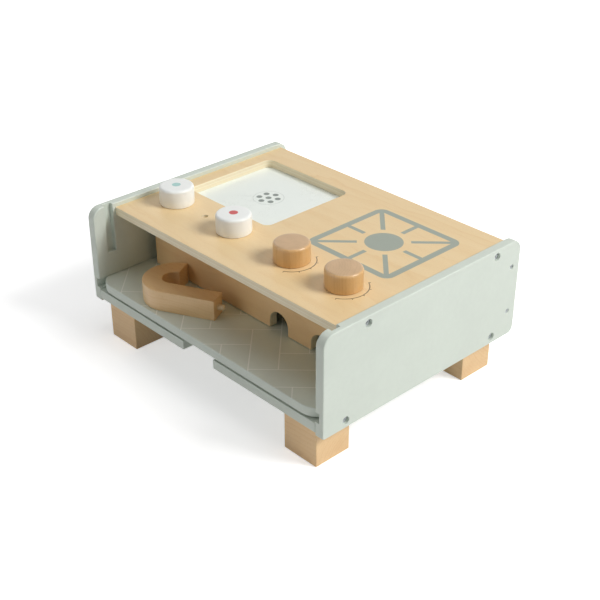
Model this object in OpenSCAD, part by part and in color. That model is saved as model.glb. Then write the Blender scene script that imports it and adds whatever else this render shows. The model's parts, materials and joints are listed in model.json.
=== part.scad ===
// Tabletop toy oven with hob and sink. The near side (-Y) is the open storage side, the oven door is on
// the far side (+Y). Origin on the floor, midway between the side panels and midway along their depth.

/* [Side panels] */
// Width over the outer faces of the side panels
overall_w = 345; // [300:1:400]
// Depth of the side panels
overall_d = 267; // [235:1:310]
// Height of the side panels
panel_h = 105.5; // [103:0.5:130]
// Thickness of the side panels
panel_t = 10; // [9:0.5:12]
// Reach of the side panels below the base board
panel_drop = 4; // [2:0.5:8]
// Radius of the panels' upper near corner
near_top_r = 12.5; // [4:0.5:14]
// Radius of the panels' upper far corner
far_top_r = 12; // [4:0.5:20]
// Radius of the panels' lower near corner
near_bottom_r = 3; // [1:0.5:12]
// Radius of the panels' lower far corner
far_bottom_r = 7; // [1:0.5:15]

/* [Worktop] */
// Thickness of the worktop
worktop_t = 9; // [8:0.5:12]
// Drop of the worktop's upper face below the panels' upper edges
worktop_drop = 4.5; // [2:0.5:8]
// Setback of the worktop from the panels' near edges
worktop_near_setback = 27.5; // [20:0.5:34]
// Setback of the worktop from the panels' far edges
worktop_far_setback = 8.5; // [4:0.5:12]
// Diameter of the socket that the tap's pin stands in
socket_d = 6.4; // [6.2:0.1:7]

/* [Sink] */
// Margin between the left panel and the sink opening
sink_side_margin = 16.5; // [14:0.5:30]
// Margin between the middle of the worktop and the sink opening
sink_mid_margin = 22; // [12:0.5:40]
// Margin between the knobs' row and the sink opening
sink_knob_margin = 30; // [24:0.5:45]
// Margin between the worktop's far edge and the sink opening
sink_far_margin = 32.5; // [32:0.5:45]
// Corner radius of the sink opening
sink_corner_r = 8; // [3:0.5:15]
// Thickness of the white sink panel
sink_panel_t = 4; // [3:0.5:6]
// Lap of the sink panel under the worktop
sink_lap = 12; // [8:0.5:13]

/* [Base board and feet] */
// Thickness of the base board
base_t = 10; // [9:0.5:12]
// Width of the finger notch
notch_w = 45; // [30:1:60]
// Depth of the finger notch
notch_d = 22; // [14:1:28]
// Corner radius of the finger notch
notch_corner_r = 3; // [1:0.5:8]
// Edge length of the feet in plan
foot_size = 42; // [36:1:46]
// Height of the feet
foot_h = 40; // [34:1:46]
// Gap between the right panel and the right feet
foot_right_inset = 0.1; // [0.1:0.1:12]
// Gap between the left panel and the left feet
foot_left_inset = 13.5; // [1:0.5:25]
// Inset of the near feet from the base board's near edge
foot_near_inset = 2; // [0:0.5:8]
// Inset of the far feet from the base board's far edge
foot_far_inset = 14.5; // [4:0.5:30]

/* [Splashback] */
// Thickness of the splashback
splash_t = 9.7; // [9:0.1:10]
// Corner radius of the splashback
splash_corner_r = 22.5; // [6:0.5:30]
// Gap between the stored splashback's far edge and the front board
splash_end_gap = 5.5; // [3:0.5:30]
// Depth of the grooves in the side panels
groove_depth = 5; // [4.5:0.5:6]
// Play of the splashback across its grooves
groove_clear = 0.4; // [0.2:0.1:1]
// Play of the splashback at each end
splash_side_clear = 0.5; // [0.3:0.1:1]
// Gap between the base board and the stored splashback
store_gap = 2; // [1:0.5:4]
// Setback of the upright grooves from the panels' near edges
upright_setback = 14.3; // [14.3:0.1:16]
// Length of the upright grooves
upright_len = 53; // [40:1:55]

/* [Partition board] */
// Thickness of the partition board
partition_t = 9.5; // [8:0.5:10]
// Setback of the partition board from the panels' near edges
partition_setback = 65.9; // [64:0.1:68]
// Gap between each side panel and the partition board
partition_end_gap = 12.5; // [8:0.5:18]
// Gap between the stored splashback's groove and the partition board
partition_gap = 0.4; // [0.3:0.1:3]
// Width of an arched notch
arch_w = 25.5; // [16:0.5:30]
// Height of an arched notch
arch_h = 21; // [17:0.5:28]
// Distance from the partition board's right end to the first arch's middle
arch_end = 48.5; // [30:0.5:60]
// Distance between the arches' middles
arch_pitch = 57.7; // [40:0.1:64]

/* [Tap spout] */
// Thickness of the tap spout
spout_t = 22; // [18:0.5:26]
// Outer radius of the spout's bend
spout_outer_r = 32; // [29:0.5:34]
// Width of the spout's legs
spout_leg_w = 20.4; // [16:0.2:22]
// Straight length of the spout's long leg
spout_long_leg = 58; // [45:1:66]
// Straight length of the spout's short leg
spout_short_leg = 0.9; // [0.5:0.1:6]
// Angle of the stored spout's legs to the X axis
spout_angle = 27; // [20:1:33]
// Gap between the left panel and the stored spout
spout_side_gap = 49.2; // [20:0.2:80]
// Gap between the stored spout and the partition board
spout_back_gap = 0.5; // [0.4:0.1:4]
// Diameter of the tap's pin
tap_pin_d = 6; // [5:0.1:6.1]
// Free length of the tap's pin
tap_pin_free = 6.5; // [4:0.1:6.8]
// Length of the tap's pin inside the spout
tap_pin_fixed = 12; // [8:0.5:20]

/* [Knobs] */
// Diameter of the knobs
knob_d = 36; // [28:0.5:38]
// Height of the knobs
knob_h = 19.7; // [16:0.1:26]
// Gap between a knob and the worktop
knob_gap = 0.3; // [0.2:0.1:1]
// Edge rounding of the white tap knobs
white_knob_r = 2.8; // [1:0.1:5]
// Edge rounding of the wooden hob knobs
wood_knob_r = 2.4; // [1:0.1:5]
// Distance between the two tap knobs
tap_knob_pitch = 90.5; // [84:0.5:94]
// Offset of the taps' middle from the sink's middle, towards the hob
tap_offset = 1.7; // [0:0.1:3]
// Distance between the two hob knobs
hob_knob_pitch = 68.6; // [50:0.2:80]
// Distance from the partition board's far face to the knobs' row
knob_set_in = 5.6; // [5.5:0.1:10]
// Diameter of a knob screw's shank
knob_screw_d = 4; // [3:0.5:5]
// Depth of a knob screw in its knob
knob_screw_bite = 12; // [8:0.5:14]
// Diameter of the washers under the worktop
washer_d = 10; // [9:0.5:10]
// Thickness of the washers under the worktop
washer_t = 0.8; // [0.5:0.1:1.5]

/* [Front board and oven door] */
// Thickness of the front board and the door
front_t = 9.5; // [9:0.5:11]
// Setback of the front board from the panels' far edges
front_setback = 7; // [6.5:0.5:8]
// Margin between the right panel and the oven opening
opening_side_margin = 19.5; // [17.5:0.5:26]
// Width of the oven opening
opening_w = 124; // [104:1:140]
// Height of the oven opening
opening_h = 52; // [48:1:53]
// Height of the front board below the oven opening
opening_rise = 14; // [13:0.5:15]
// Gap around the oven door
door_gap = 1; // [0.8:0.1:1.5]
// Width of the door's window
window_w = 74; // [50:1:90]
// Height of the door below its window
window_rise = 13; // [11:0.5:15]
// Height of the door above its window
window_drop = 19; // [17:0.5:21]
// Lap of the window pane around the window
pane_lap = 3; // [2:0.5:3]
// Thickness of the window pane
pane_t = 2; // [1.5:0.5:3]
// Width of the door's handle
handle_w = 84; // [74:1:100]
// Height of the door's handle
handle_h = 10; // [9:0.5:12]
// Reach of the handle in front of the door
handle_reach = 6; // [5:0.5:6.4]
// Drop of the handle below the door's upper edge
handle_drop = 4; // [3:0.5:4.5]

/* [Hidden] */
$fn = 64;

// Overrun of every cut past the face that it opens
over = 1;
// Radial play of a fixed pin or screw in its hole
fixed_clear = 0.05;
// Radial play of a turning shaft in its hole
turning_clear = 0.08;
// Room past the end of a pin or screw in a blind hole
end_clear = 0.3;
// Room past the end of the tap's pin in its socket
socket_end_clear = 1;

// Large panel screws: shank, head, hexagon socket and the places of their axes
panel_screw_d = 5;
panel_screw_len = 28;
panel_head_d = 8.2;
panel_head_h = 3;
panel_head_recess = 2.5;
panel_socket_af = 4;
panel_socket_h = 2;
worktop_screw_drop = 3.2;
worktop_screw_near = 26.8;
worktop_screw_far = 27.9;
base_screw_rise = 4;
base_screw_near = 28.6;
base_screw_far = 27.6;

// Small countersunk screws: one size for the front board, the feet and the handle
small_screw_d = 3;
small_head_d = 5.4;
small_head_h = 1.6;
front_screw_len = 14;
front_screw_inset = 14.2;
front_screw_recess = 1;
foot_screw_bite = 22;
foot_screw_spread = 20;
foot_screw_shift = 8;
handle_screw_bite = 4;
handle_screw_pitch = 60;
cross_w = 0.8;
cross_len = 3;
cross_depth = 0.8;

// Pan head screws under the knobs and the sink panel
pan_head_h = 1.8;
knob_head_d = 8;
knob_head_play = 0.1;
washer_bore_clear = 0.4;
sink_screw_d = 2.5;
sink_head_d = 5;
sink_screw_bite = 5;

// Dowels of the partition board
dowel_d = 6;
dowel_count = 4;
dowel_end_margin = 20;
dowel_rise = 6;
dowel_fall = 14;

// Door pivot pins, catch and handle details
pivot_pin_d = 4;
pivot_pin_in_door = 8;
pivot_pin_in_board = 7;
catch_w = 24;
catch_d = 10;
catch_lap = 12;
catch_gap = 0.1;
magnet_d = 8;
magnet_t = 4;
strike_d = 9;
strike_t = 0.8;
pane_clear = 0.2;
pane_play = 0.1;
handle_corner_r = 4;
handle_cove_r = 1.8;
pin_tip_h = 1;
pin_tip_r = 2;
groove_end_clear = 1.5;

// Horizontal places
inner_x = overall_w / 2 - panel_t;
near_y = -overall_d / 2;
far_y = overall_d / 2;
worktop_near = near_y + worktop_near_setback;
worktop_far = far_y - worktop_far_setback;
front_outer = far_y - front_setback;
front_inner = front_outer - front_t;
front_mid = (front_outer + front_inner) / 2;
partition_near = near_y + partition_setback;
partition_far = partition_near + partition_t;
partition_mid = (partition_near + partition_far) / 2;
partition_half_w = inner_x - partition_end_gap;
knob_y = partition_far + knob_set_in;
hob_cx = inner_x - opening_side_margin - opening_w / 2;
sink_w = inner_x - sink_side_margin - sink_mid_margin;
sink_d = worktop_far - sink_far_margin - sink_knob_margin - knob_y;
sink_cx = -inner_x + sink_side_margin + sink_w / 2;
sink_cy = worktop_far - sink_far_margin - sink_d / 2;
tap_cx = sink_cx + tap_offset;
splash_far = front_inner - splash_end_gap;
splash_half_w = inner_x + groove_depth - splash_side_clear;
foot_left_cx = -inner_x + foot_left_inset + foot_size / 2;
foot_right_cx = inner_x - foot_right_inset - foot_size / 2;
foot_near_cy = near_y + foot_near_inset + foot_size / 2;
foot_far_cy = front_outer - foot_far_inset - foot_size / 2;

// Heights
base_top = foot_h + base_t;
panel_bottom = foot_h - panel_drop;
panel_top = panel_bottom + panel_h;
worktop_top = panel_top - worktop_drop;
worktop_bottom = worktop_top - worktop_t;
groove_w = splash_t + groove_clear;
store_floor = base_top + store_gap;
splash_top = store_floor + splash_t;
partition_bottom = store_floor + groove_w + partition_gap;
front_h = worktop_bottom - base_top;
opening_bottom = base_top + opening_rise;
opening_top = opening_bottom + opening_h;

// Oven door
door_w = opening_w - 2 * door_gap;
door_bottom = opening_bottom + door_gap;
door_top = opening_top - door_gap;
door_h = door_top - door_bottom;
pivot_z = door_bottom + front_t / 2;
window_h = door_h - window_rise - window_drop;
magnet_z = door_top - catch_lap / 2;
handle_z = door_top - handle_drop - handle_h / 2;

// Stored tap spout: the short leg's corner stands spout_back_gap in front of the partition board
spout_inner_r = spout_outer_r - spout_leg_w;
spout_reach_y = spout_outer_r * cos(spout_angle) + spout_short_leg * sin(spout_angle);
spout_cx = -inner_x + spout_side_gap + spout_outer_r;
spout_cy = partition_near - spout_back_gap - spout_reach_y;

// Axes that several pieces share
panel_screw_places = [
    [worktop_near + worktop_screw_near, worktop_top - worktop_screw_drop],
    [worktop_far - worktop_screw_far, worktop_top - worktop_screw_drop],
    [near_y + base_screw_near, foot_h + base_screw_rise],
    [front_outer - base_screw_far, foot_h + base_screw_rise]
];
front_screw_places = [
    [front_mid, base_top + front_screw_inset],
    [front_mid, worktop_bottom - front_screw_inset]
];
tap_knob_xs = [tap_cx - tap_knob_pitch / 2, tap_cx + tap_knob_pitch / 2];
hob_knob_xs = [hob_cx - hob_knob_pitch / 2, hob_cx + hob_knob_pitch / 2];
dowel_step = 2 * (partition_half_w - dowel_end_margin) / (dowel_count - 1);
dowel_xs = [for (i = [0:dowel_count - 1]) -partition_half_w + dowel_end_margin + i * dowel_step];
foot_places = [
    [foot_left_cx, foot_near_cy], [foot_right_cx, foot_near_cy],
    [foot_left_cx, foot_far_cy], [foot_right_cx, foot_far_cy]
];
foot_screw_places = [
    for (p = foot_places, s = [-1, 1]) [p[0] + s * foot_screw_spread / 2, p[1] - foot_screw_shift]
];
sink_screw_places = [
    for (sx = [-1, 1], sy = [-1, 1]) [sink_cx + sx * (sink_w + sink_lap) / 2, sink_cy + sy * sink_d / 4]
];
arch_xs = [partition_half_w - arch_end, partition_half_w - arch_end - arch_pitch];

// Colours
grey_paint = [0.80, 0.83, 0.80];
white_paint = [0.95, 0.95, 0.93];
board_wood = [0.88, 0.77, 0.60];
solid_wood = [0.80, 0.62, 0.42];
zinc = [0.62, 0.64, 0.66];
pale_wood = [0.90, 0.84, 0.72];

// Corner waste of a rectangle whose corner lies at the origin and whose body lies in +X +Y
module corner_waste(r) {
    difference() {
        translate([-over, -over]) square(r + over);
        translate([r, r]) circle(r);
    }
}

// Rectangle from the origin with its four corner radii: near left, near right, far left, far right
module rounded_board(size, radii) {
    difference() {
        square(size);
        corner_waste(radii[0]);
        translate([size[0], 0]) mirror([1, 0]) corner_waste(radii[1]);
        translate([0, size[1]]) mirror([0, 1]) corner_waste(radii[2]);
        translate([size[0], size[1]]) mirror([1, 0]) mirror([0, 1]) corner_waste(radii[3]);
    }
}

// Rod along +X
module rod_x(d, len) {
    rotate([0, 90, 0]) cylinder(d = d, h = len);
}

// Rod along +Y
module rod_y(d, len) {
    rotate([-90, 0, 0]) cylinder(d = d, h = len);
}

module on_both_sides() {
    children();
    mirror([1, 0, 0]) children();
}

// Cross recess that opens at z = 0 and goes down
module cross_recess() {
    for (turn = [0, 90]) {
        rotate(turn) translate([-cross_len / 2, -cross_w / 2, -cross_depth])
            cube([cross_len, cross_w, cross_depth + over]);
    }
}

// Countersunk screw: head face at z = 0, shank along -Z
module countersunk_screw(len) {
    head_r = small_head_d / 2;
    shank_r = small_screw_d / 2;
    difference() {
        rotate_extrude()
            polygon([[0, 0], [head_r, 0], [shank_r, -small_head_h], [shank_r, -len], [0, -len]]);
        cross_recess();
    }
}

// Hole of a countersunk screw, with its play all round and its head sunk that far below the surface
module countersunk_hole(len, sunk = 0) {
    head_r = small_head_d / 2 + fixed_clear;
    shank_r = small_screw_d / 2 + fixed_clear;
    end_z = -len - end_clear;
    rotate_extrude() polygon([
        [0, sunk + over], [head_r, sunk + over], [head_r, 0], [shank_r, -small_head_h], [shank_r, end_z],
        [0, end_z]
    ]);
}

// Pan head screw: bearing face at z = 0, shank along +Z
module pan_screw(shank_d, head_d, len) {
    cylinder(d = shank_d, h = len);
    translate([0, 0, -pan_head_h]) difference() {
        cylinder(d = head_d, h = pan_head_h);
        mirror([0, 0, 1]) cross_recess();
    }
}

// Large panel screw along -X from the right panel's outer face
module panel_screw() {
    translate([overall_w / 2 - panel_head_recess, 0, 0]) mirror([1, 0, 0]) {
        difference() {
            rod_x(panel_head_d, panel_head_h);
            translate([-over, 0, 0]) rotate([0, 90, 0])
                cylinder(d = panel_socket_af / cos(30), h = panel_socket_h + over, $fn = 6);
        }
        translate([panel_head_h, 0, 0]) rod_x(panel_screw_d, panel_screw_len);
    }
}

// Hole of a large panel screw, through the panel and into the board's end
module panel_screw_hole() {
    play = 2 * fixed_clear;
    translate([overall_w / 2 - panel_head_recess - panel_head_h, 0, 0]) {
        rod_x(panel_head_d + play, panel_head_h + panel_head_recess + over);
        translate([-panel_screw_len - end_clear, 0, 0])
            rod_x(panel_screw_d + play, panel_screw_len + end_clear);
    }
}

module at_panel_screws() {
    for (p = panel_screw_places) translate([0, p[0], p[1]]) children();
}

// Places the children at the sunk heads in the right panel, with their -Z along -X
module at_front_screws() {
    for (p = front_screw_places) {
        translate([overall_w / 2 - front_screw_recess, p[0], p[1]]) rotate([0, 90, 0]) children();
    }
}

module front_screw_holes() {
    at_front_screws() countersunk_hole(panel_t + front_screw_len, front_screw_recess);
}

module panel_screw_set() {
    color(zinc) at_panel_screws() panel_screw();
}

module front_screw_set() {
    color(zinc) at_front_screws() countersunk_screw(panel_t + front_screw_len);
}

module side_panel() {
    color(grey_paint) difference() {
        translate([inner_x, near_y, panel_bottom]) rotate([90, 0, 90]) linear_extrude(panel_t)
            rounded_board([overall_d, panel_h], [near_bottom_r, far_bottom_r, near_top_r, far_top_r]);
        translate([inner_x - over, near_y - over, store_floor])
            cube([groove_depth + over, splash_far + groove_end_clear - near_y + over, groove_w]);
        translate([inner_x - over, near_y + upright_setback, panel_top - upright_len])
            cube([groove_depth + over, groove_w, upright_len + over]);
        at_panel_screws() panel_screw_hole();
        front_screw_holes();
    }
}

module side_panel_right() {
    side_panel();
}

module side_panel_left() {
    mirror([1, 0, 0]) side_panel();
}

module worktop_outline() {
    difference() {
        translate([-inner_x, worktop_near]) square([2 * inner_x, worktop_far - worktop_near]);
        translate([sink_cx - sink_w / 2, sink_cy - sink_d / 2])
            rounded_board([sink_w, sink_d], [for (i = [1:4]) sink_corner_r]);
        for (x = concat(tap_knob_xs, hob_knob_xs)) {
            translate([x, knob_y]) circle(r = knob_screw_d / 2 + turning_clear);
        }
    }
}

module worktop() {
    color(board_wood) difference() {
        translate([0, 0, worktop_bottom]) linear_extrude(worktop_t) worktop_outline();
        on_both_sides() at_panel_screws() panel_screw_hole();
        translate([tap_cx, knob_y, worktop_top - tap_pin_free - socket_end_clear])
            cylinder(d = socket_d, h = tap_pin_free + socket_end_clear + over);
        for (x = dowel_xs) {
            translate([x, partition_mid, worktop_bottom - over])
                cylinder(r = dowel_d / 2 + fixed_clear, h = dowel_rise + over);
        }
        for (p = sink_screw_places) {
            translate([p[0], p[1], worktop_bottom - over])
                cylinder(r = sink_screw_d / 2 + fixed_clear, h = sink_screw_bite + end_clear + over);
        }
    }
}

module sink_panel() {
    panel_w = sink_w + 2 * sink_lap;
    panel_d = sink_d + 2 * sink_lap;
    color(white_paint) difference() {
        translate([sink_cx - panel_w / 2, sink_cy - panel_d / 2, worktop_bottom - sink_panel_t])
            cube([panel_w, panel_d, sink_panel_t]);
        for (p = sink_screw_places) {
            translate([p[0], p[1], worktop_bottom - sink_panel_t - over])
                cylinder(r = sink_screw_d / 2 + fixed_clear, h = sink_panel_t + 2 * over);
        }
    }
}

module sink_screws() {
    color(zinc) for (p = sink_screw_places) {
        translate([p[0], p[1], worktop_bottom - sink_panel_t])
            pan_screw(sink_screw_d, sink_head_d, sink_panel_t + sink_screw_bite);
    }
}

module base_board() {
    color(grey_paint) difference() {
        translate([0, 0, foot_h]) linear_extrude(base_t) difference() {
            translate([-inner_x, near_y]) square([2 * inner_x, front_outer - near_y]);
            translate([-notch_w / 2, near_y - over])
                rounded_board([notch_w, notch_d + over], [0, 0, notch_corner_r, notch_corner_r]);
        }
        on_both_sides() at_panel_screws() panel_screw_hole();
        for (p = foot_screw_places) {
            translate([p[0], p[1], base_top]) countersunk_hole(base_t + foot_screw_bite);
        }
    }
}

// Board that stands upright between the panels: outline in X and Z, thickness towards +Y
module upright_board(near_face, thickness) {
    translate([0, near_face + thickness, 0]) rotate([90, 0, 0]) linear_extrude(thickness) children();
}

module front_board() {
    pin_hole = pivot_pin_in_board + end_clear;
    color(grey_paint) difference() {
        upright_board(front_inner, front_t) difference() {
            translate([-inner_x, base_top]) square([2 * inner_x, front_h]);
            translate([hob_cx - opening_w / 2, opening_bottom]) square([opening_w, opening_h]);
        }
        on_both_sides() front_screw_holes();
        for (x = [hob_cx - opening_w / 2 - pin_hole, hob_cx + opening_w / 2 - over]) {
            translate([x, front_mid, pivot_z]) rod_x(pivot_pin_d + 2 * fixed_clear, pin_hole + over);
        }
    }
}

module arch() {
    square_h = arch_h - arch_w / 2;
    translate([-arch_w / 2, -over]) square([arch_w, square_h + over]);
    translate([0, square_h]) circle(d = arch_w);
}

module partition_board() {
    color(solid_wood) difference() {
        upright_board(partition_near, partition_t) difference() {
            translate([-partition_half_w, partition_bottom])
                square([2 * partition_half_w, worktop_bottom - partition_bottom]);
            for (x = arch_xs) translate([x, partition_bottom]) arch();
        }
        for (x = dowel_xs) {
            translate([x, partition_mid, worktop_bottom - dowel_fall - end_clear])
                cylinder(r = dowel_d / 2 + fixed_clear, h = dowel_fall + end_clear + over);
        }
    }
}

module partition_dowels() {
    color(pale_wood) for (x = dowel_xs) {
        translate([x, partition_mid, worktop_bottom - dowel_fall])
            cylinder(d = dowel_d, h = dowel_fall + dowel_rise);
    }
}

module foot(place) {
    color(solid_wood) difference() {
        translate([place[0] - foot_size / 2, place[1] - foot_size / 2, 0]) cube([foot_size, foot_size, foot_h]);
        for (s = [-1, 1]) {
            translate([place[0] + s * foot_screw_spread / 2, place[1] - foot_screw_shift, base_top])
                countersunk_hole(base_t + foot_screw_bite);
        }
    }
}

module near_left_foot() {
    foot(foot_places[0]);
}

module near_right_foot() {
    foot(foot_places[1]);
}

module far_left_foot() {
    foot(foot_places[2]);
}

module far_right_foot() {
    foot(foot_places[3]);
}

module foot_screws() {
    color(zinc) for (p = foot_screw_places) {
        translate([p[0], p[1], base_top]) countersunk_screw(base_t + foot_screw_bite);
    }
}

module panel_screws_left() {
    mirror([1, 0, 0]) panel_screw_set();
}

module panel_screws_right() {
    panel_screw_set();
}

module front_screws_left() {
    mirror([1, 0, 0]) front_screw_set();
}

module front_screws_right() {
    front_screw_set();
}

module knob_washers() {
    color(zinc) for (x = concat(tap_knob_xs, hob_knob_xs)) {
        translate([x, knob_y, worktop_bottom - washer_t]) difference() {
            cylinder(d = washer_d, h = washer_t);
            translate([0, 0, -over])
                cylinder(r = knob_screw_d / 2 + washer_bore_clear, h = washer_t + 2 * over);
        }
    }
}

module splashback() {
    color(grey_paint) translate([-splash_half_w, near_y, store_floor]) linear_extrude(splash_t)
        rounded_board([2 * splash_half_w, splash_far - near_y], [splash_corner_r, splash_corner_r, 0, 0]);
}

// Places the children at the middle of the spout's bend, with +X along its legs
module at_spout() {
    translate([spout_cx, spout_cy, splash_top]) rotate(spout_angle) children();
}

// Places the children at the mouth of the pin's hole, with +Z along the pin
module at_tap_pin() {
    at_spout() translate([spout_long_leg, -(spout_outer_r + spout_inner_r) / 2, spout_t / 2])
        rotate([0, 90, 0]) children();
}

module spout_outline() {
    difference() {
        circle(spout_outer_r);
        circle(spout_inner_r);
        translate([0, -spout_outer_r - over]) square([spout_outer_r + over, 2 * (spout_outer_r + over)]);
    }
    translate([0, -spout_outer_r]) square([spout_long_leg, spout_leg_w]);
    translate([0, spout_inner_r]) square([spout_short_leg, spout_leg_w]);
}

module tap_spout() {
    color(solid_wood) difference() {
        at_spout() linear_extrude(spout_t) spout_outline();
        at_tap_pin() translate([0, 0, -tap_pin_fixed - end_clear])
            cylinder(r = tap_pin_d / 2 + fixed_clear, h = tap_pin_fixed + end_clear + over);
    }
}

module tap_pin() {
    color(pale_wood) at_tap_pin() {
        translate([0, 0, -tap_pin_fixed])
            cylinder(d = tap_pin_d, h = tap_pin_fixed + tap_pin_free - pin_tip_h);
        translate([0, 0, tap_pin_free - pin_tip_h])
            cylinder(r1 = tap_pin_d / 2, r2 = pin_tip_r, h = pin_tip_h);
    }
}

// Turned knob with a rounded upper edge and a blind hole for its screw
module knob(x, edge_r) {
    knob_r = knob_d / 2;
    translate([x, knob_y, worktop_top + knob_gap]) difference() {
        rotate_extrude() {
            square([knob_r, knob_h - edge_r]);
            square([knob_r - edge_r, knob_h]);
            translate([knob_r - edge_r, knob_h - edge_r]) circle(edge_r);
        }
        translate([0, 0, -over])
            cylinder(r = knob_screw_d / 2 + fixed_clear, h = knob_screw_bite + end_clear + over);
    }
}

// Screw that turns with its knob, its head under the washer
module knob_screw(x) {
    head_face = worktop_bottom - washer_t - knob_head_play;
    color(zinc) translate([x, knob_y, head_face])
        pan_screw(knob_screw_d, knob_head_d, worktop_top + knob_gap + knob_screw_bite - head_face);
}

module cold_knob() {
    color(white_paint) knob(tap_knob_xs[0], white_knob_r);
}

module cold_knob_screw() {
    knob_screw(tap_knob_xs[0]);
}

module hot_knob() {
    color(white_paint) knob(tap_knob_xs[1], white_knob_r);
}

module hot_knob_screw() {
    knob_screw(tap_knob_xs[1]);
}

module left_hob_knob() {
    color(solid_wood) knob(hob_knob_xs[0], wood_knob_r);
}

module left_hob_knob_screw() {
    knob_screw(hob_knob_xs[0]);
}

module right_hob_knob() {
    color(solid_wood) knob(hob_knob_xs[1], wood_knob_r);
}

module right_hob_knob_screw() {
    knob_screw(hob_knob_xs[1]);
}

module door_pivot_pins() {
    pin_len = pivot_pin_in_door + door_gap + pivot_pin_in_board;
    left_start = hob_cx - opening_w / 2 - pivot_pin_in_board;
    right_start = hob_cx + door_w / 2 - pivot_pin_in_door;
    color(zinc) for (x = [left_start, right_start]) {
        translate([x, front_mid, pivot_z]) rod_x(pivot_pin_d, pin_len);
    }
}

module catch_block() {
    color(pale_wood) difference() {
        translate([hob_cx - catch_w / 2, front_inner - catch_gap - catch_d, door_top - catch_lap])
            cube([catch_w, catch_d, worktop_bottom - door_top + catch_lap]);
        translate([hob_cx, front_inner - catch_gap - magnet_t - end_clear, magnet_z])
            rod_y(magnet_d + 2 * fixed_clear, magnet_t + end_clear + over);
    }
}

module catch_magnet() {
    color(zinc) translate([hob_cx, front_inner - catch_gap - magnet_t, magnet_z]) rod_y(magnet_d, magnet_t);
}

module strike_plate() {
    color(zinc) translate([hob_cx, front_inner, magnet_z]) rod_y(strike_d, strike_t);
}

module at_handle_screws() {
    for (s = [-1, 1]) {
        translate([hob_cx + s * handle_screw_pitch / 2, front_inner, handle_z])
            rotate([90, 0, 0]) children();
    }
}

// Board with a full round lower edge about its pivot, a window rebated from inside and a strike recess
module oven_door() {
    pane_bottom = door_bottom + window_rise - pane_lap;
    color(grey_paint) difference() {
        translate([hob_cx - door_w / 2, front_mid, 0]) rotate([90, 0, 90]) linear_extrude(door_w) {
            translate([0, pivot_z]) circle(front_t / 2);
            translate([-front_t / 2, pivot_z]) square([front_t, door_top - pivot_z]);
        }
        translate([hob_cx - window_w / 2, front_inner - over, door_bottom + window_rise])
            cube([window_w, front_t + 2 * over, window_h]);
        translate([hob_cx - window_w / 2 - pane_lap, front_inner - over, pane_bottom])
            cube([window_w + 2 * pane_lap, pane_t + pane_clear + over, window_h + 2 * pane_lap]);
        for (x = [hob_cx - door_w / 2 - over, hob_cx + door_w / 2 - pivot_pin_in_door - end_clear]) {
            translate([x, front_mid, pivot_z])
                rod_x(pivot_pin_d + 2 * turning_clear, pivot_pin_in_door + end_clear + over);
        }
        translate([hob_cx, front_inner - over, magnet_z]) rod_y(strike_d + 2 * fixed_clear, strike_t + over);
        at_handle_screws() countersunk_hole(front_t + handle_screw_bite);
    }
}

module door_window() {
    lap = pane_lap - pane_play;
    color([0.85, 0.92, 0.95, 0.4])
        translate([hob_cx - window_w / 2 - lap, front_inner + pane_clear, door_bottom + window_rise - lap])
        cube([window_w + 2 * lap, pane_t, window_h + 2 * lap]);
}

module door_handle() {
    handle_bottom = handle_z - handle_h / 2;
    color(solid_wood) difference() {
        upright_board(front_outer, handle_reach)
            translate([hob_cx - handle_w / 2, handle_bottom])
            rounded_board([handle_w, handle_h], [for (i = [1:4]) handle_corner_r]);
        translate([hob_cx - handle_w / 2 - over, front_outer + handle_reach / 2, handle_bottom])
            rod_x(2 * handle_cove_r, handle_w + 2 * over);
        at_handle_screws() countersunk_hole(front_t + handle_screw_bite);
    }
}

module door_handle_screws() {
    color(zinc) at_handle_screws() countersunk_screw(front_t + handle_screw_bite);
}

side_panel_left();
side_panel_right();
worktop();
sink_panel();
sink_screws();
base_board();
front_board();
partition_board();
partition_dowels();
near_left_foot();
near_right_foot();
far_left_foot();
far_right_foot();
foot_screws();
panel_screws_left();
panel_screws_right();
front_screws_left();
front_screws_right();
knob_washers();
door_pivot_pins();
catch_block();
catch_magnet();
splashback();
tap_spout();
tap_pin();
cold_knob();
cold_knob_screw();
hot_knob();
hot_knob_screw();
left_hob_knob();
left_hob_knob_screw();
right_hob_knob();
right_hob_knob_screw();
oven_door();
door_window();
door_handle();
door_handle_screws();
strike_plate();
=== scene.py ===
"""Tabletop toy oven with hob, sink and stored splashback: finishes, prints, turned knobs, screws and stage.

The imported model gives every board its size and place, in metres, with the floor at Z = 0. The near side
(-Y) is the open storage side and the oven door is on the far side (+Y).
"""
import json
import math
from functools import reduce

import bmesh
import bpy
from bpy.props import FloatProperty, FloatVectorProperty, PointerProperty
from mathutils import Matrix, Vector

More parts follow.
